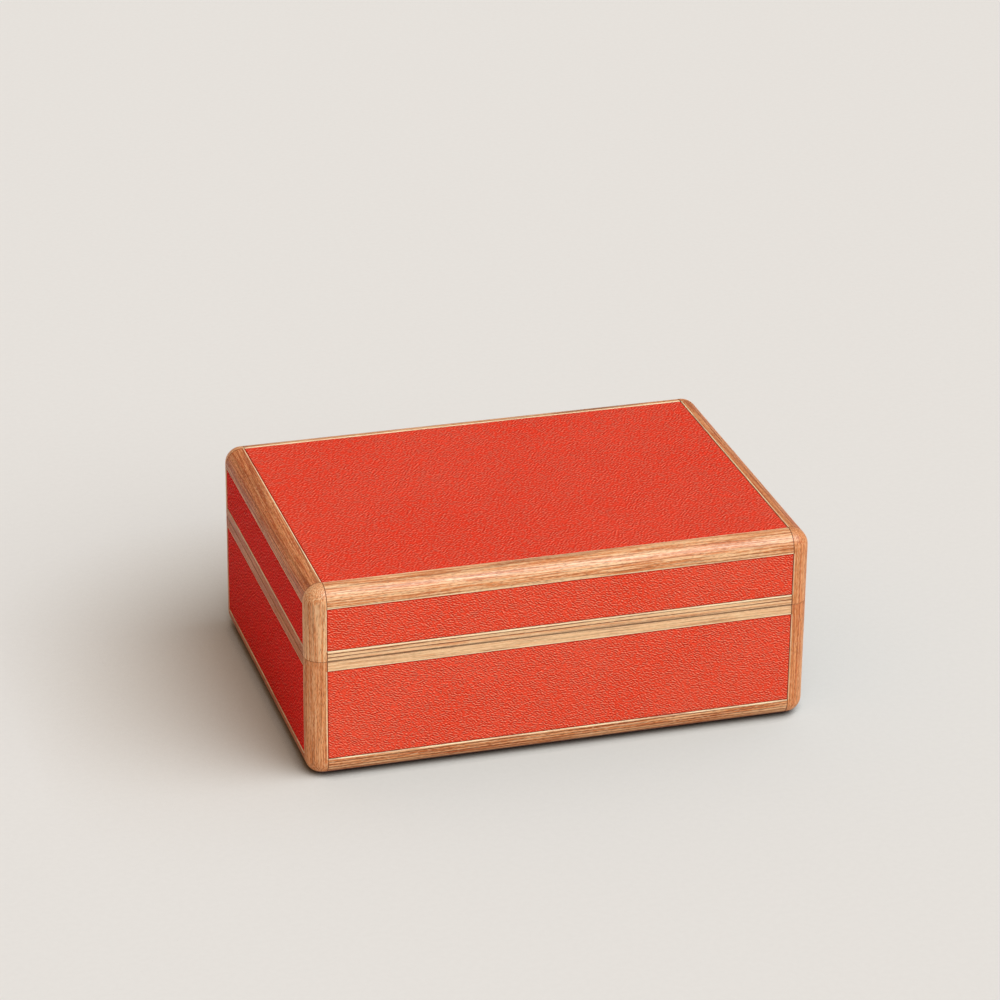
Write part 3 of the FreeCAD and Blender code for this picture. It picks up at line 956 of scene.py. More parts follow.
def stepped_block(
    stops: Sequence[Sequence[float]],
    missing: Callable[[float, float, float], bool],
    place: Callable[..., Vector],
) -> Solid:
    """Block with box-shaped seats cut out of it.

    Args:
        stops: for each of three directions, the places where the block starts, changes and ends.
        missing: says whether the cell round a point is cut out.
        place: turns three places into a point in the frame.

    Returns:
        The block, with flat faces merged.
    """
    solid = bmesh.new()
    spans = [list(zip(line, line[1:])) for line in stops]
    counts = [len(span) for span in spans]

    def present(cell: Sequence[int]) -> bool:
        """Whether a cell is there and not cut out."""
        there = all(0 <= index < count for index, count in zip(cell, counts))
        return there and not missing(*(sum(spans[axis][index]) / 2 for axis, index in enumerate(cell)))

    for cell in ((i, j, k) for i in range(counts[0]) for j in range(counts[1]) for k in range(counts[2])):
        if not present(cell):
            continue
        for axis in range(3):
            for side in (0, 1):
                beside = list(cell)
                beside[axis] += 1 if side else -1
                if present(beside):
                    continue
                first, second = (other for other in range(3) if other != axis)
                corners = []
                for low, high in ((0, 0), (1, 0), (1, 1), (0, 1)):
                    at = [0.0, 0.0, 0.0]
                    at[axis] = spans[axis][cell[axis]][side]
                    at[first] = spans[first][cell[first]][low]
                    at[second] = spans[second][cell[second]][high]
                    corners.append(solid.verts.new(place(*at)))
                solid.faces.new(corners)
    weld(solid)
    bmesh.ops.recalc_face_normals(solid, faces=solid.faces)
    bmesh.ops.dissolve_limit(solid, angle_limit=FLAT_ANGLE, verts=solid.verts, edges=solid.edges)
    return solid


# Wood frame


@dataclass(frozen=True)
class Plank:
    """What a stick is cut from: its tone against the usual wood, how clear its rings are and how they lie."""

    tone: float
    rings: float
    pith: tuple[float, float]
    slope: float = 0.012


POST_PLANKS = {
    (half, wall): Plank(tone, 0.12, (-wall.side * 60.0 * MM, 50.0 * MM), slope=0.004)
    for half, wall, tone in (
        (Half.LID, Wall.LEFT, -0.10),
        (Half.LID, Wall.RIGHT, 0.12),
        (Half.BASE, Wall.LEFT, 0.12),
        (Half.BASE, Wall.RIGHT, 0.12),
    )
}
RAIL_PLANKS = {
    (Half.LID, Wall.FRONT): Plank(tone=-0.14, rings=0.55, pith=(80.0 * MM, -20.0 * MM)),
    (Half.LID, Wall.LEFT): Plank(tone=0.20, rings=0.8, pith=(60.0 * MM, 40.0 * MM)),
    (Half.LID, Wall.RIGHT): Plank(tone=0.20, rings=0.5, pith=(50.0 * MM, -50.0 * MM)),
    (Half.LID, Wall.BACK): Plank(tone=-0.12, rings=0.6, pith=(-40.0 * MM, 60.0 * MM)),
    (Half.BASE, Wall.FRONT): Plank(tone=0.0, rings=1.6, pith=(84.0 * MM, 70.0 * MM)),
    # Toned much darker than the right one: painted shade for the shade beside the box's left foot
    (Half.BASE, Wall.LEFT): Plank(tone=0.55, rings=0.7, pith=(50.0 * MM, 50.0 * MM)),
    (Half.BASE, Wall.RIGHT): Plank(tone=0.02, rings=0.7, pith=(-50.0 * MM, 60.0 * MM)),
    (Half.BASE, Wall.BACK): Plank(tone=-0.04, rings=0.8, pith=(30.0 * MM, 60.0 * MM)),
}
RIM_PITHS = {Half.LID: (6.0 * MM, 80.0 * MM), Half.BASE: (80.0 * MM, 12.0 * MM)}
RIM_PLANKS = {
    (half, wall): Plank(tone, rings, RIM_PITHS[half], slope=0.006)
    for half, wall, tone, rings in (
        (Half.LID, Wall.FRONT, -0.58, 1.3),
        # The left rims are toned darker than the others: painted shade for the shaded left side
        (Half.LID, Wall.LEFT, 0.34, 0.9),
        (Half.LID, Wall.RIGHT, -0.2, 0.8),
        (Half.LID, Wall.BACK, -0.4, 0.9),
        (Half.BASE, Wall.FRONT, -0.52, 0.3),
        # Painted shade on the left side, as for the lid's left rim
        (Half.BASE, Wall.LEFT, 0.30, 0.5),
        (Half.BASE, Wall.RIGHT, -0.25, 0.4),
        (Half.BASE, Wall.BACK, -0.4, 0.5),
    )
}


@dataclass
class WoodFrame:
    """Posts, rails and rim strips of one half."""

    sizes: HalfSizes
    workshop: Workshop
    edge_flat: float = 1.0 * MM
    arris: float = 0.3 * MM
    parting_arris: float = 0.1 * MM
    # Width of the painted highlight along the leather and along the inner edge of the far end
    painted_highlight_band: float = 0.6 * MM
    # Height of the painted shade at the foot of the base
    painted_foot_shade: float = 2.4 * MM
    joint_bands: tuple[float, float] = (1.1 * MM, 0.6 * MM)
    rim_setback: float = 0.14 * MM
    round_steps: int = 14
    hinge_play: float = 0.1 * MM
    plank_length: float = 3.0
    plank_play: float = 4.0 * MM
    tone_play: float = 0.04

    @property
    def radius(self) -> float:
        """Radius of the rounded outer edges."""
        return self.sizes.frame_width - self.edge_flat

    def build(self) -> None:
        """Make every stick of this half."""
        for depth_wall in (Wall.FRONT, Wall.BACK):
            for length_wall in (Wall.LEFT, Wall.RIGHT):
                self.post(depth_wall, length_wall)
        for wall in Wall:
            self.rail(wall)
            self.rim(wall)

    def lay(self, name: str, run: int, plank: Plank) -> GrainLay:
        """Grain along a stick, cut from its own place in the plank.

        Args:
            name: the piece's name, which seeds the choice.
            run: axis that the stick runs along.
            plank: the kind of plank that it is cut from.

        Returns:
            How the grain lies.
        """
        draw = random.Random(name)
        rows = list(Matrix.Identity(3))
        along = rows.pop(run)
        across = [row + along * draw.uniform(-plank.slope, plank.slope) for row in rows]
        start = Vector((draw.uniform(0.0, self.plank_length), *plank.pith))
        for index in (1, 2):
            start[index] += draw.uniform(-self.plank_play, self.plank_play)
        tone = plank.tone + draw.uniform(-self.tone_play, self.tone_play)
        return GrainLay(Matrix((along, *across)), start, tone, plank.rings)

    def quarter(self) -> Iterator[float]:
        """Turns from 0 to a right angle, in even steps."""
        return (math.pi / 2 * step / self.round_steps for step in range(self.round_steps + 1))

    def corner_ring(self, inset: float) -> Iterator[tuple[float, float]]:
        """Plan of a post at one level.

        Args:
            inset: how far its outer faces stand back there.

        Returns:
            The points, as distances in from both outer faces.
        """
        width = self.sizes.frame_width
        reach = self.radius - inset
        yield width, width
        yield inset, width
        for turn in self.quarter():
            angle = math.pi + turn
            yield self.radius + reach * math.cos(angle), self.radius + reach * math.sin(angle)
        yield width, inset

    def post(self, depth_wall: Wall, length_wall: Wall) -> None:
        """Corner post, rounded up its outer edge and over its far end.

        Args:
            depth_wall: the front or the back.
            length_wall: the left or the right.
        """
        sizes = self.sizes
        stations = [(0.0, 0.0)]
        for turn in self.quarter():
            rise = sizes.height - self.radius + self.radius * math.sin(turn)
            stations.append((rise, self.radius * (1.0 - math.cos(turn))))
        rings = []
        for rise, inset in stations:
            ring = []
            for from_side, from_face in self.corner_ring(inset):
                point = sizes.on_wall(length_wall, 0.0, from_side, rise)
                point.y = depth_wall.side * (sizes.depth_half - from_face)
                ring.append(point)
            rings.append(ring)
        place = f"{sizes.half.value}_{depth_wall.word}_{length_wall.word}"
        lay = self.lay(f"{place}_corner", 2, POST_PLANKS[sizes.half, length_wall])
        solid = loft(rings)
        self.ease_stick(solid, 0.0)
        inner = sizes.frame_width - self.painted_highlight_band
        score(solid, sizes.on_wall(length_wall, 0.0, inner, 0.0), Vector((1.0, 0.0, 0.0)))
        score(solid, sizes.on_wall(depth_wall, 0.0, inner, 0.0), Vector((0.0, 1.0, 0.0)))
        self.score_levels(solid, sizes.rim_height, sizes.height - sizes.rail_height)
        self.mark(solid, self.post_painted_light_and_dirt)
        self.workshop.finish(solid, f"{place}_corner", f"{place}_post", sizes.half, Slot.MAHOGANY, lay)

    def score_levels(self, solid: Solid, *rises: float) -> None:
        """Score a stick at levels that stand away from the parting face."""
        for rise in rises:
            score(solid, Vector((0.0, 0.0, self.sizes.level(rise))), Vector((0.0, 0.0, 1.0)))

    def ease_stick(self, solid: Solid, parting_rise: float) -> None:
        """Ease the edges of a stick, those in its parting face less than the others.

        Args:
            solid: the stick, which is changed.
            parting_rise: how far its parting face stands away from the half's.
        """
        bmesh.ops.recalc_face_normals(solid, faces=solid.faces)

        def in_parting(edge: bmesh.types.BMEdge) -> bool:
            """Whether an edge lies in the parting face."""
            return all(self.rise(vertex.co) < parting_rise + 10 * SAME_SPOT for vertex in edge.verts)

        ease(solid, [edge for edge in sharp_edges(solid) if not in_parting(edge)], self.arris)
        ease(solid, [edge for edge in sharp_edges(solid) if in_parting(edge)], self.parting_arris)

    @staticmethod
    def mark(solid: Solid, painted_marking: Callable[[Vector], float]) -> None:
        """Mark each face by the mark at its middle: a painted highlight, dark joint dirt, painted shade or
        none.

        Args:
            solid: the stick, which is changed.
            painted_marking: gives the mark at a point.
        """
        marks = solid.faces.layers.float.new(ARRIS)
        for face in solid.faces:
            face[marks] = painted_marking(face.calc_center_median())

    def rise(self, point: Vector) -> float:
        """Distance of a point away from the parting face."""
        return abs(point.z - self.sizes.parting)

    def in_foot(self, point: Vector) -> bool:
        """Whether a point lies in the foot of the base, which takes painted shade."""
        return self.sizes.half is Half.BASE and self.rise(point) > self.sizes.height - self.painted_foot_shade

    def post_painted_light_and_dirt(self, point: Vector) -> float:
        """Marks on a post: a painted highlight beside the leather, dark dirt at the joints and painted shade
        at the foot.

        Args:
            point: where.

        Returns:
            The mark.
        """
        sizes = self.sizes
        inward = max(sizes.outer(axis) - abs(point[axis]) for axis in (0, 1))
        if sizes.rim_height < self.rise(point) < sizes.height - sizes.rail_height:
            # Painted highlight beside the leather
            return HALF_PALE if inward > sizes.frame_width - self.painted_highlight_band else PLAIN
        # Painted shade at the foot of the base
        if self.in_foot(point):
            return PAINTED_SHADE
        return JOINT_DIRT if inward > sizes.frame_width - self.arris else PLAIN

    def rail_outline(self) -> Iterator[tuple[float, float]]:
        """Section of a rail.

        Returns:
            The points, as distances in from the outer face and away from the parting face.
        """
        width = self.sizes.frame_width
        height = self.sizes.height
        middle = height - self.radius
        yield width, height - self.sizes.rail_height
        yield 0.0, height - self.sizes.rail_height
        for turn in self.quarter():
            angle = math.pi - turn
            yield self.radius + self.radius * math.cos(angle), middle + self.radius * math.sin(angle)
        yield width, height

    def reach(self, wall: Wall) -> float:
        """Half the length of a stick between the posts."""
        return self.sizes.outer(wall.run) - self.sizes.frame_width

    def rail(self, wall: Wall) -> None:
        """Rail with a full round along its outer edge.

        Args:
            wall: the wall that it is in.
        """
        sizes = self.sizes
        ends = (-self.reach(wall), self.reach(wall))
        rings = [[sizes.on_wall(wall, end, *point) for point in self.rail_outline()] for end in ends]
        place = f"{sizes.half.value}_{wall.word}"
        lay = self.lay(f"{place}_moulding", wall.run, RAIL_PLANKS[sizes.half, wall])
        solid = loft(rings)
        self.ease_stick(solid, 0.0)
        foot = sizes.height - sizes.rail_height
        self.score_levels(solid, foot + self.painted_highlight_band)
        inner = sizes.on_wall(wall, 0.0, sizes.frame_width - self.painted_highlight_band, 0.0)
        score(solid, inner, sizes.on_wall(wall, 0.0, 0.0, 0.0) - inner)
        for end in ends:
            near = sizes.on_wall(wall, end - math.copysign(self.joint_bands[wall.facing], end), 0.0, 0.0)
            score(solid, near, sizes.on_wall(wall, end, 0.0, 0.0) - near)
        self.mark(solid, lambda point: self.stick_painted_light_and_dirt(wall, foot, point))
        self.workshop.finish(solid, f"{place}_moulding", f"{place}_rail", sizes.half, Slot.MAHOGANY, lay)

    def stick_painted_light_and_dirt(self, wall: Wall, foot: float, point: Vector) -> float:
        """Marks on a rail or rim: a painted highlight along the leather, dark dirt at the joints and painted
        shade at the foot.

        The parting line takes painted shade at the front and the back, and a faint painted highlight at the
        sides.

        Args:
            wall: the wall that the stick is in.
            foot: height of its edge along the wall's leather.
            point: where.

        Returns:
            The mark.
        """
        sizes = self.sizes
        rise = self.rise(point)
        inward = sizes.outer(wall.facing) - abs(point[wall.facing])
        if abs(point[wall.run]) > self.reach(wall) - self.joint_bands[wall.facing]:
            return JOINT_DIRT
        # Painted shade at the foot of the base
        if self.in_foot(point):
            return PAINTED_SHADE
        # Painted shade in the parting gap at the front and the back, a faint painted highlight at the sides
        if inward < self.parting_arris and rise < self.rim_setback + self.parting_arris:
            return PAINTED_SHADE if wall.facing else FAINTLY_PALE
        # Painted highlight along the leather and along the inner edge of the far end
        by_leather = inward < self.painted_highlight_band and abs(rise - foot) < self.painted_highlight_band
        by_top = inward > sizes.frame_width - self.painted_highlight_band and rise > sizes.height - self.painted_highlight_band
        return PALE if by_leather or by_top else PLAIN

    def hinge_seats(self) -> tuple[list[tuple[float, float]], float, float]:
        """Seats of the hinge leaves in the back rim.

        Returns:
            The span of each seat along the rim, how far it comes in from the back and how deep it is.
        """
        leaves = bpy.data.objects[f"{self.sizes.half.value}_hinge_leaves"].data.vertices
        left = [vertex.co.x for vertex in leaves if vertex.co.x < 0.0]
        span = (min(left) - self.hinge_play, max(left) + self.hinge_play)
        inward = self.sizes.depth_half - min(vertex.co.y for vertex in leaves) + self.hinge_play
        deep = max(self.sizes.half.away * (vertex.co.z - self.sizes.parting) for vertex in leaves)
        return [span, (-span[1], -span[0])], inward, deep

    def rim(self, wall: Wall) -> None:
        """Flat strip along the parting line; the back one has the seats of the hinges.

        Args:
            wall: the wall that it is in.
        """
        sizes = self.sizes
        reach = self.reach(wall)
        spans, inward, deep = self.hinge_seats() if wall is Wall.BACK else ([], 0.0, 0.0)
        along = sorted([-reach, reach, *(stop for span in spans for stop in span)])
        across = sorted({0.0, inward, sizes.frame_width})
        levels = sorted({self.rim_setback, max(deep, self.rim_setback), sizes.rim_height})

        def cut_out(place: float, depth: float, height: float) -> bool:
            """Whether a place lies in a hinge's seat."""
            return depth < inward and height < deep and any(low < place < high for low, high in spans)

        solid = stepped_block((along, across, levels), cut_out, lambda *at: sizes.on_wall(wall, *at))
        place = f"{sizes.half.value}_{wall.word}"
        lay = self.lay(f"{place}_edge_strip", wall.run, RIM_PLANKS[sizes.half, wall])
        self.ease_stick(solid, self.rim_setback)
        self.score_levels(solid, sizes.rim_height - self.painted_highlight_band)
        self.mark(solid, lambda point: self.stick_painted_light_and_dirt(wall, sizes.rim_height, point))
        self.workshop.finish(solid, f"{place}_edge_strip", f"{place}_rim", sizes.half, Slot.MAHOGANY, lay)


# Leather and suede panels


@dataclass(frozen=True)
class PanelShape:
    """How a thin covering lies on its board."""

    edge_radius: float
    edge_drop: float
    drop_reach: float
    wave: float
    wave_length: float
    cell: float


LEATHER_SHAPE = PanelShape(
    edge_radius=0.55 * MM,
    edge_drop=0.10 * MM,
    drop_reach=1.6 * MM,
    wave=0.05 * MM,
    wave_length=14.0 * MM,
    cell=3.0 * MM,
)
SUEDE_SHAPE = PanelShape(
    edge_radius=0.5 * MM,
    edge_drop=0.15 * MM,
    drop_reach=3.0 * MM,
    wave=0.08 * MM,
    wave_length=18.0 * MM,
    cell=4.0 * MM,
)


@dataclass(frozen=True)
class Hide:
    """What a covering is cut from: how its grain leans and spreads, how deep it is, and how much painted
    shade, a deeper red, its side takes.
    """

    slant: float
    spread: float
    depth: float
    shade_paint: float


# One hide for each axis and side that a panel can face; the last value paints the panel a deeper red as
# shade, most on the shaded left side

HIDES = {
    (0, -1): Hide(slant=-14.0, spread=1.5, depth=1.7, shade_paint=0.95),
    (0, 1): Hide(slant=-14.0, spread=1.0, depth=1.15, shade_paint=0.1),
    (1, -1): Hide(slant=-14.0, spread=1.05, depth=1.15, shade_paint=0.0),
    (1, 1): Hide(slant=-14.0, spread=1.0, depth=1.15, shade_paint=0.1),
    (2, -1): Hide(slant=28.0, spread=1.35, depth=1.0, shade_paint=0.0),
    (2, 1): Hide(slant=14.0, spread=1.35, depth=1.28, shade_paint=0.25),
}


@dataclass
class Covering:
    """A leather or suede panel that fills the box of its CAD node and shows one face."""

    node: str
    name: str
    half: Half
    slot: Slot
    facing: int
    side: int
    edge_steps: int = 4
    wave_starts: float = 50.0
    hide_length: float = 2.0

    @property
    def shape(self) -> PanelShape:
        """How this kind of covering lies on its board."""
        return LEATHER_SHAPE if self.slot is Slot.LEATHER else SUEDE_SHAPE

    def build(self, workshop: Workshop) -> None:
        """Make the panel: a face that rolls down at its edges, plain sides and a plain back.

        Args:
            workshop: where the piece is made.
        """
        low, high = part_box(self.node)
        face, back = (high, low) if self.side > 0 else (low, high)
        first, second = (axis for axis in range(3) if axis != self.facing)
        across = self.stations(high[first] - low[first])
        along = self.stations(high[second] - low[second])
        seed = random.Random(self.name).uniform(0.0, self.wave_starts)
        solid = bmesh.new()
        marks = solid.verts.layers.float.new(ARRIS)
        rows = []
        for s in across:
            row = []
            for t in along:
                point = low.copy()
                point[first] += s
                point[second] += t
                point[self.facing] = 0.0
                margin = (min(s, across[-1] - s), min(t, along[-1] - t))
                point[self.facing] = face[self.facing] - self.side * self.drop(margin, point, seed)
                vertex = solid.verts.new(point)
                # Painted shade mark, from 0 inside the rolled edge to -1 at the very edge
                vertex[marks] = min(0.0, min(margin) / self.shape.edge_radius - 1.0)
                row.append(vertex)
            rows.append(row)
        self.close(solid, rows, back[self.facing])
        workshop.finish(solid, self.name, self.node, self.half, self.slot, self.lay(first, second))

    def close(
        self, solid: Solid, rows: Sequence[Sequence[bmesh.types.BMVert]], back: float
    ) -> None:
        """Lay faces over the rows of points, and add the sides and the back.

        Args:
            solid: the mesh, which is changed.
            rows: the points of the shown face.
            back: level of the back along the axis that the panel faces.
        """
        for row, following in zip(rows, rows[1:]):
            for index in range(len(row) - 1):
                solid.faces.new((row[index], row[index + 1], following[index + 1], following[index]))
        rim = [row[0] for row in rows]
        rim += rows[-1][1:]
        rim += [row[-1] for row in reversed(rows[:-1])]
        rim += list(reversed(rows[0][1:-1]))
        foot = []
        for vertex in rim:
            point = vertex.co.copy()
            point[self.facing] = back
            foot.append(solid.verts.new(point))
        bridge(solid, rim, foot)
        solid.faces.new(foot)

    def lay(self, first: int, second: int) -> GrainLay:
        """How the hide lies on the panel, which runs along two axes.

        Args:
            first: the one axis.
            second: the other.

        Returns:
            The lay, with the grain in the plane of the panel.
        """
        hide = HIDES[self.facing, self.side]
        draw = random.Random(self.name)
        start = Vector([draw.uniform(0.0, self.hide_length) for _ in range(3)])
        axes = Matrix.Identity(3)
        rows = Matrix((axes[first], axes[second], axes[self.facing]))
        turn = Matrix.Rotation(-math.radians(hide.slant), 3, "Z") * (1.0 / hide.spread)
        # The side's painted shade goes in as the panel's tone
        return GrainLay(turn @ rows, start, hide.shade_paint, hide.depth)

    def stations(self, length: float) -> list[float]:
        """Where the grid lines run across a side.

        Args:
            length: length of the side.

        Returns:
            Places from 0 to length, close together at both edges.
        """
        shape = self.shape
        turns = [math.pi / 2 * step / self.edge_steps for step in range(self.edge_steps)]
        near = [shape.edge_radius * (1.0 - math.cos(turn)) for turn in turns]
        near += [shape.edge_radius, shape.drop_reach]
        span = length - 2.0 * shape.drop_reach
        count = max(1, round(span / shape.cell))
        middle = [shape.drop_reach + span * step / count for step in range(1, count)]
        return near + middle + [length - place for place in reversed(near)]

    def drop(self, margin: tuple[float, float], point: Vector, seed: float) -> float:
        """How far the face lies below its highest level at a point.

        Args:
            margin: distances to the nearest edge in both directions.
            point: the point in the frame.
            seed: where this panel's waves start.

        Returns:
            The depth, never less than 0.
        """
        shape = self.shape
        sink = max(max(0.0, 1.0 - distance / shape.drop_reach) for distance in margin)
        gaps = [max(0.0, shape.edge_radius - distance) for distance in margin]
        gap = min(shape.edge_radius, math.hypot(*gaps))
        roll = shape.edge_radius - math.sqrt(shape.edge_radius**2 - gap**2)
        swell = noise.noise(point / shape.wave_length + Vector((seed, seed, seed)))
        return shape.edge_drop * sink * sink + roll + shape.wave * (0.5 + 0.5 * swell)


@dataclass
class Coverings:
    """All the leather and suede of the box."""

    workshop: Workshop

    def build(self) -> None:
        """Make every panel."""
        panels = []
        for half in Half:
            for wall in Wall:
                place = f"{half.value}_{wall.word}"
                leather = (f"{place}_leather", f"{place}_hide", half, Slot.LEATHER, wall.facing, wall.side)
                suede = (f"{place}_lining", f"{place}_suede", half, Slot.LINING, wall.facing, -wall.side)
                panels += [leather, suede]
        panels += [
            ("lid_top_leather", "lid_top_hide", Half.LID, Slot.LEATHER, 2, 1),
            ("lid_ceiling_lining", "lid_ceiling_suede", Half.LID, Slot.LINING, 2, -1),
            ("base_floor_lining", "base_floor_suede", Half.BASE, Slot.LINING, 2, 1),
            ("base_underside_cover", "base_underside_suede", Half.BASE, Slot.UNDERSIDE, 2, -1),
        ]
        for panel in panels:
            Covering(*panel).build(self.workshop)


@dataclass
class CarriedOver:
    """Nodes that keep their CAD shape: the boards behind the coverings and the hinges."""

    workshop: Workshop

    def build(self) -> None:
        """Give each of them its finish."""
        for half in Half:
            for wall in Wall:
                self.workshop.dress_node(f"{half.value}_{wall.word}_board", Slot.PLYWOOD)
            self.workshop.dress_node(f"{half.value}_hinge_leaves", Slot.BRASS)
            self.workshop.dress_node(f"{half.value}_hinge_screws", Slot.BRASS)
        self.workshop.dress_node("lid_top_board", Slot.PLYWOOD)
        self.workshop.dress_node("base_bottom_board", Slot.PLYWOOD)
        self.workshop.dress_node("hinge_pins", Slot.STEEL)


# Studio


def heading(azimuth: float, elevation: float) -> Vector:
    """Direction from the box.

    Args:
        azimuth: degrees from the front to the right.
        elevation: degrees upwards.

    Returns:
        The direction, of length 1.
    """
    turn = math.radians(azimuth)
    rise = math.radians(elevation)
    return Vector((math.sin(turn) * math.cos(rise), -math.cos(turn) * math.cos(rise), math.sin(rise)))


@dataclass(frozen=True)
class Lamp:
    """A far soft lamp: where it stands, how wide it looks in degrees and how bright it is."""

    name: str
    azimuth: float
    elevation: float
    width: float
    strength: float
    colour: Colour
    only_gloss: bool = False

    def build(self, varnished: bpy.types.Collection) -> None:
        """Hang the lamp; one for gloss alone shines on varnish and leaves light and shade as they are.

        Args:
            varnished: the varnished pieces.
        """
        data = bpy.data.lights.new(self.name, "SUN")
        data.color = self.colour
        data.energy = self.strength * math.pi
        data.angle = math.radians(self.width)
        lamp = put(self.name, data)
        towards = heading(self.azimuth, self.elevation)
        lamp.rotation_mode = "QUATERNION"
        lamp.rotation_quaternion = towards.to_track_quat("Z", "Y")
        lamp.location = towards
        if self.only_gloss:
            lamp.visible_diffuse = False
            lamp.light_linking.receiver_collection = varnished
        LOG.info("%s lamp hung", self.name)


@dataclass(frozen=True)
class Viewpoint:
    """The camera: angles in degrees, the point it looks at, its distance from there and its lens in mm."""

    azimuth: float
    elevation: float
    roll: float
    aim: Triple
    distance: float
    lens: float
    sensor: float = 36.0
    sight: float = 100.0

    def build(self) -> None:
        """Set up the camera."""
        tilt = math.radians(self.roll)
        back = heading(self.azimuth, self.elevation)
        level = Vector((math.cos(math.radians(self.azimuth)), math.sin(math.radians(self.azimuth)), 0.0))
        steep = back.cross(level)
        right = level * math.cos(tilt) + steep * math.sin(tilt)
        up = steep * math.cos(tilt) - level * math.sin(tilt)
        data = bpy.data.cameras.new("camera")
        data.lens = self.lens
        data.sensor_width = self.sensor
        data.sensor_fit = "HORIZONTAL"
        data.clip_end = self.sight
        camera = put("camera", data)
        axes = Matrix((right, up, back)).transposed().to_4x4()
        camera.matrix_world = Matrix.Translation(Vector(self.aim) + back * self.distance) @ axes
        bpy.context.scene.camera = camera
        LOG.info("camera set")


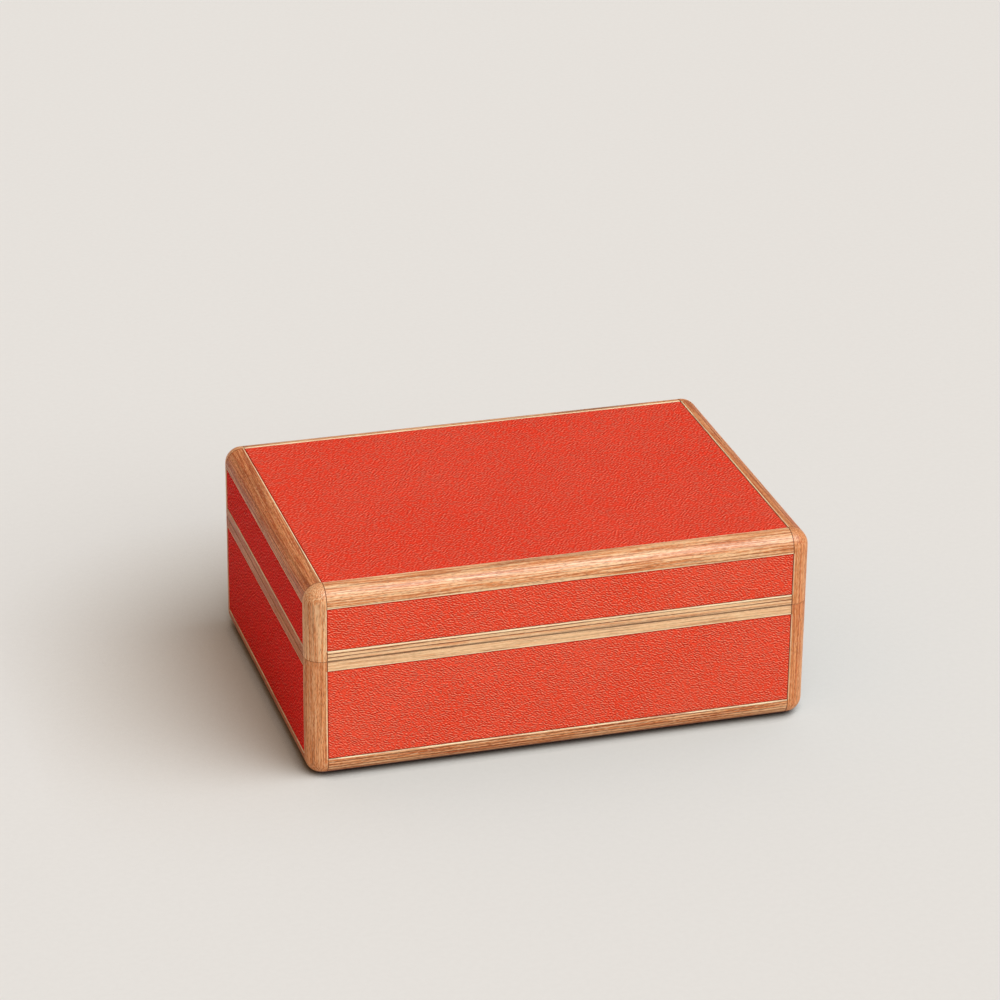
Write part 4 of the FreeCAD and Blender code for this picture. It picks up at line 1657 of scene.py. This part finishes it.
@dataclass
class Studio:
    """Pale floor, soft lamps, even backdrop and camera."""

    floor_colour: Colour = (0.785, 0.790, 0.775)
    floor_half: float = 20.0
    floor_cells: int = 8
    paper_patch: float = 3 * MM
    paper_dip: float = 0.985
    paper_roughness: float = 0.95
    shade_colour: Colour = (0.66, 0.57, 0.46)
    shade_lean: Triple = (0.60, -0.66, 0.45)
    shade_reach: float = 120 * MM
    shade_samples: int = 4
    contact_colour: Colour = (0.030, 0.015, 0.008)
    contact_reach: float = 10 * MM
    contact_range: tuple[float, float] = (0.42, 0.12)
    clear_reach: float = 3.0 * MM
    sky_colour: Colour = (1.0, 0.97, 0.92)
    warm_colour: Colour = (1.0, 0.53, 0.26)
    sky_level: float = 0.34
    horizon_level: float = 0.5
    ceiling_level: float = 0.2
    ceiling_range: tuple[float, float] = (0.05, 0.4)
    warm_range: tuple[float, float] = (0.2, -0.6)
    lamps: tuple[Lamp, ...] = (
        Lamp("key", azimuth=34.0, elevation=50.0, width=74.0, strength=0.90, colour=(0.98, 1.0, 1.01)),
        Lamp("glint", 38.0, 51.0, width=30.0, strength=3.4, colour=(1.0, 0.97, 0.95), only_gloss=True),
    )
    viewpoint: Viewpoint = Viewpoint(
        azimuth=-16.678,
        elevation=24.551,
        roll=0.602,
        aim=(-0.86 * MM, 14.11 * MM, 82.05 * MM),
        distance=1.8419,
        lens=139.21,
    )

    def build(self, varnished: bpy.types.Collection) -> None:
        """Set up everything round the box.

        Args:
            varnished: the varnished pieces.
        """
        bpy.context.scene.view_settings.view_transform = "Standard"
        self.floor()
        self.backdrop()
        for lamp in self.lamps:
            lamp.build(varnished)
        self.viewpoint.build()

    def floor(self) -> None:
        """Lay the floor."""
        solid = bmesh.new()
        cells = self.floor_cells
        bmesh.ops.create_grid(solid, x_segments=cells, y_segments=cells, size=self.floor_half)
        mesh = bpy.data.meshes.new("paper_floor")
        solid.to_mesh(mesh)
        solid.free()
        mesh.materials.append(self.paper())
        put("paper_floor", mesh)
        LOG.info("paper floor laid")

    def paper(self) -> bpy.types.Material:
        """The floor's paper, with a warm shade painted in where the box closes it in and a near-black contact
        shadow painted beside its foot.

        It is clear from below, and to light that comes from right above it, so that the underside shows.

        Returns:
            The material.
        """
        material = bpy.data.materials.new("paper_floor")
        graph = Graph.blank(material)
        place = graph.add("ShaderNodeTexCoord").outputs["Object"]
        patches = EffectLibrary.place(graph, Effect.MOTTLE, Vector=place, Patch=self.paper_patch)["Patches"]
        dip = tuple(self.paper_dip * level for level in self.floor_colour)
        colour = graph.mix(graph.remap(patches, *NOISE_SPREAD), dip, self.floor_colour)
        # Painted shadow: the floor's colour turns to a warm shade where the box closes it in, and near black
        # beside its foot
        samples = self.shade_samples
        far = {"Distance": self.shade_reach, "Normal": graph.vector(*self.shade_lean)}
        free = graph.add("ShaderNodeAmbientOcclusion", far, samples=samples).outputs["AO"]
        shaded = graph.mix(1.0, colour, graph.mix(free, self.shade_colour, (1.0, 1.0, 1.0)), "MULTIPLY")
        near = {"Distance": self.contact_reach}
        clearance = graph.add("ShaderNodeAmbientOcclusion", near, samples=samples).outputs["AO"]
        grounded = graph.mix(graph.remap(clearance, *self.contact_range), shaded, self.contact_colour)
        paper = {"Base Color": grounded, "Roughness": self.paper_roughness, "Specular IOR Level": 0.0}
        shader = graph.add("ShaderNodeBsdfPrincipled", paper)
        clear = graph.add("ShaderNodeBsdfTransparent").outputs[0]
        below = graph.add("ShaderNodeNewGeometry").outputs["Backfacing"]
        path = graph.add("ShaderNodeLightPath").outputs
        close = graph.math("LESS_THAN", path["Ray Length"], self.clear_reach)
        unseen = graph.math("SUBTRACT", close, path["Is Camera Ray"])
        share = graph.math("MAXIMUM", below, unseen)
        both = graph.add("ShaderNodeMixShader", {0: share, 1: shader.outputs[0], 2: clear})
        graph.add("ShaderNodeOutputMaterial", {"Surface": both.outputs[0]})
        return material

    def backdrop(self) -> None:
        """Show the floor's colour all round, duller overhead, also in reflections; light the left warmly."""
        world = bpy.data.worlds.new("backdrop")
        graph = Graph.blank(world)
        path = graph.add("ShaderNodeLightPath").outputs
        seen = graph.math("MAXIMUM", path["Is Camera Ray"], path["Is Glossy Ray"])
        seen = graph.math("MAXIMUM", seen, path["Is Transmission Ray"])
        direction = graph.add("ShaderNodeTexCoord").outputs["Generated"]
        parts = graph.add("ShaderNodeSeparateXYZ", {0: direction}).outputs
        level = graph.remap(parts["Z"], *self.ceiling_range, self.horizon_level, self.ceiling_level)
        tint = graph.mix(graph.remap(parts["X"], *self.warm_range), self.sky_colour, self.warm_colour)
        sky = graph.add("ShaderNodeBackground", {"Color": tint, "Strength": self.sky_level})
        paper = graph.add("ShaderNodeBackground", {"Color": self.floor_colour, "Strength": level})
        both = graph.add("ShaderNodeMixShader", {0: seen, 1: sky.outputs[0], 2: paper.outputs[0]})
        graph.add("ShaderNodeOutputWorld", {"Surface": both.outputs[0]})
        bpy.context.scene.world = world
        LOG.info("backdrop set")


def main() -> None:
    """Load the frame, build every sub-assembly and set up the studio."""
    logging.basicConfig(level=logging.INFO, format="%(message)s")
    bpy.ops.wm.read_factory_settings(use_empty=True)
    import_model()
    workshop = Workshop({finish.slot: finish.build() for finish in FINISHES})
    for half in Half:
        WoodFrame(HalfSizes.read(half), workshop).build()
    Coverings(workshop).build()
    CarriedOver(workshop).build()
    Studio().build(workshop.varnished)


if __name__ == "__main__":
    main()
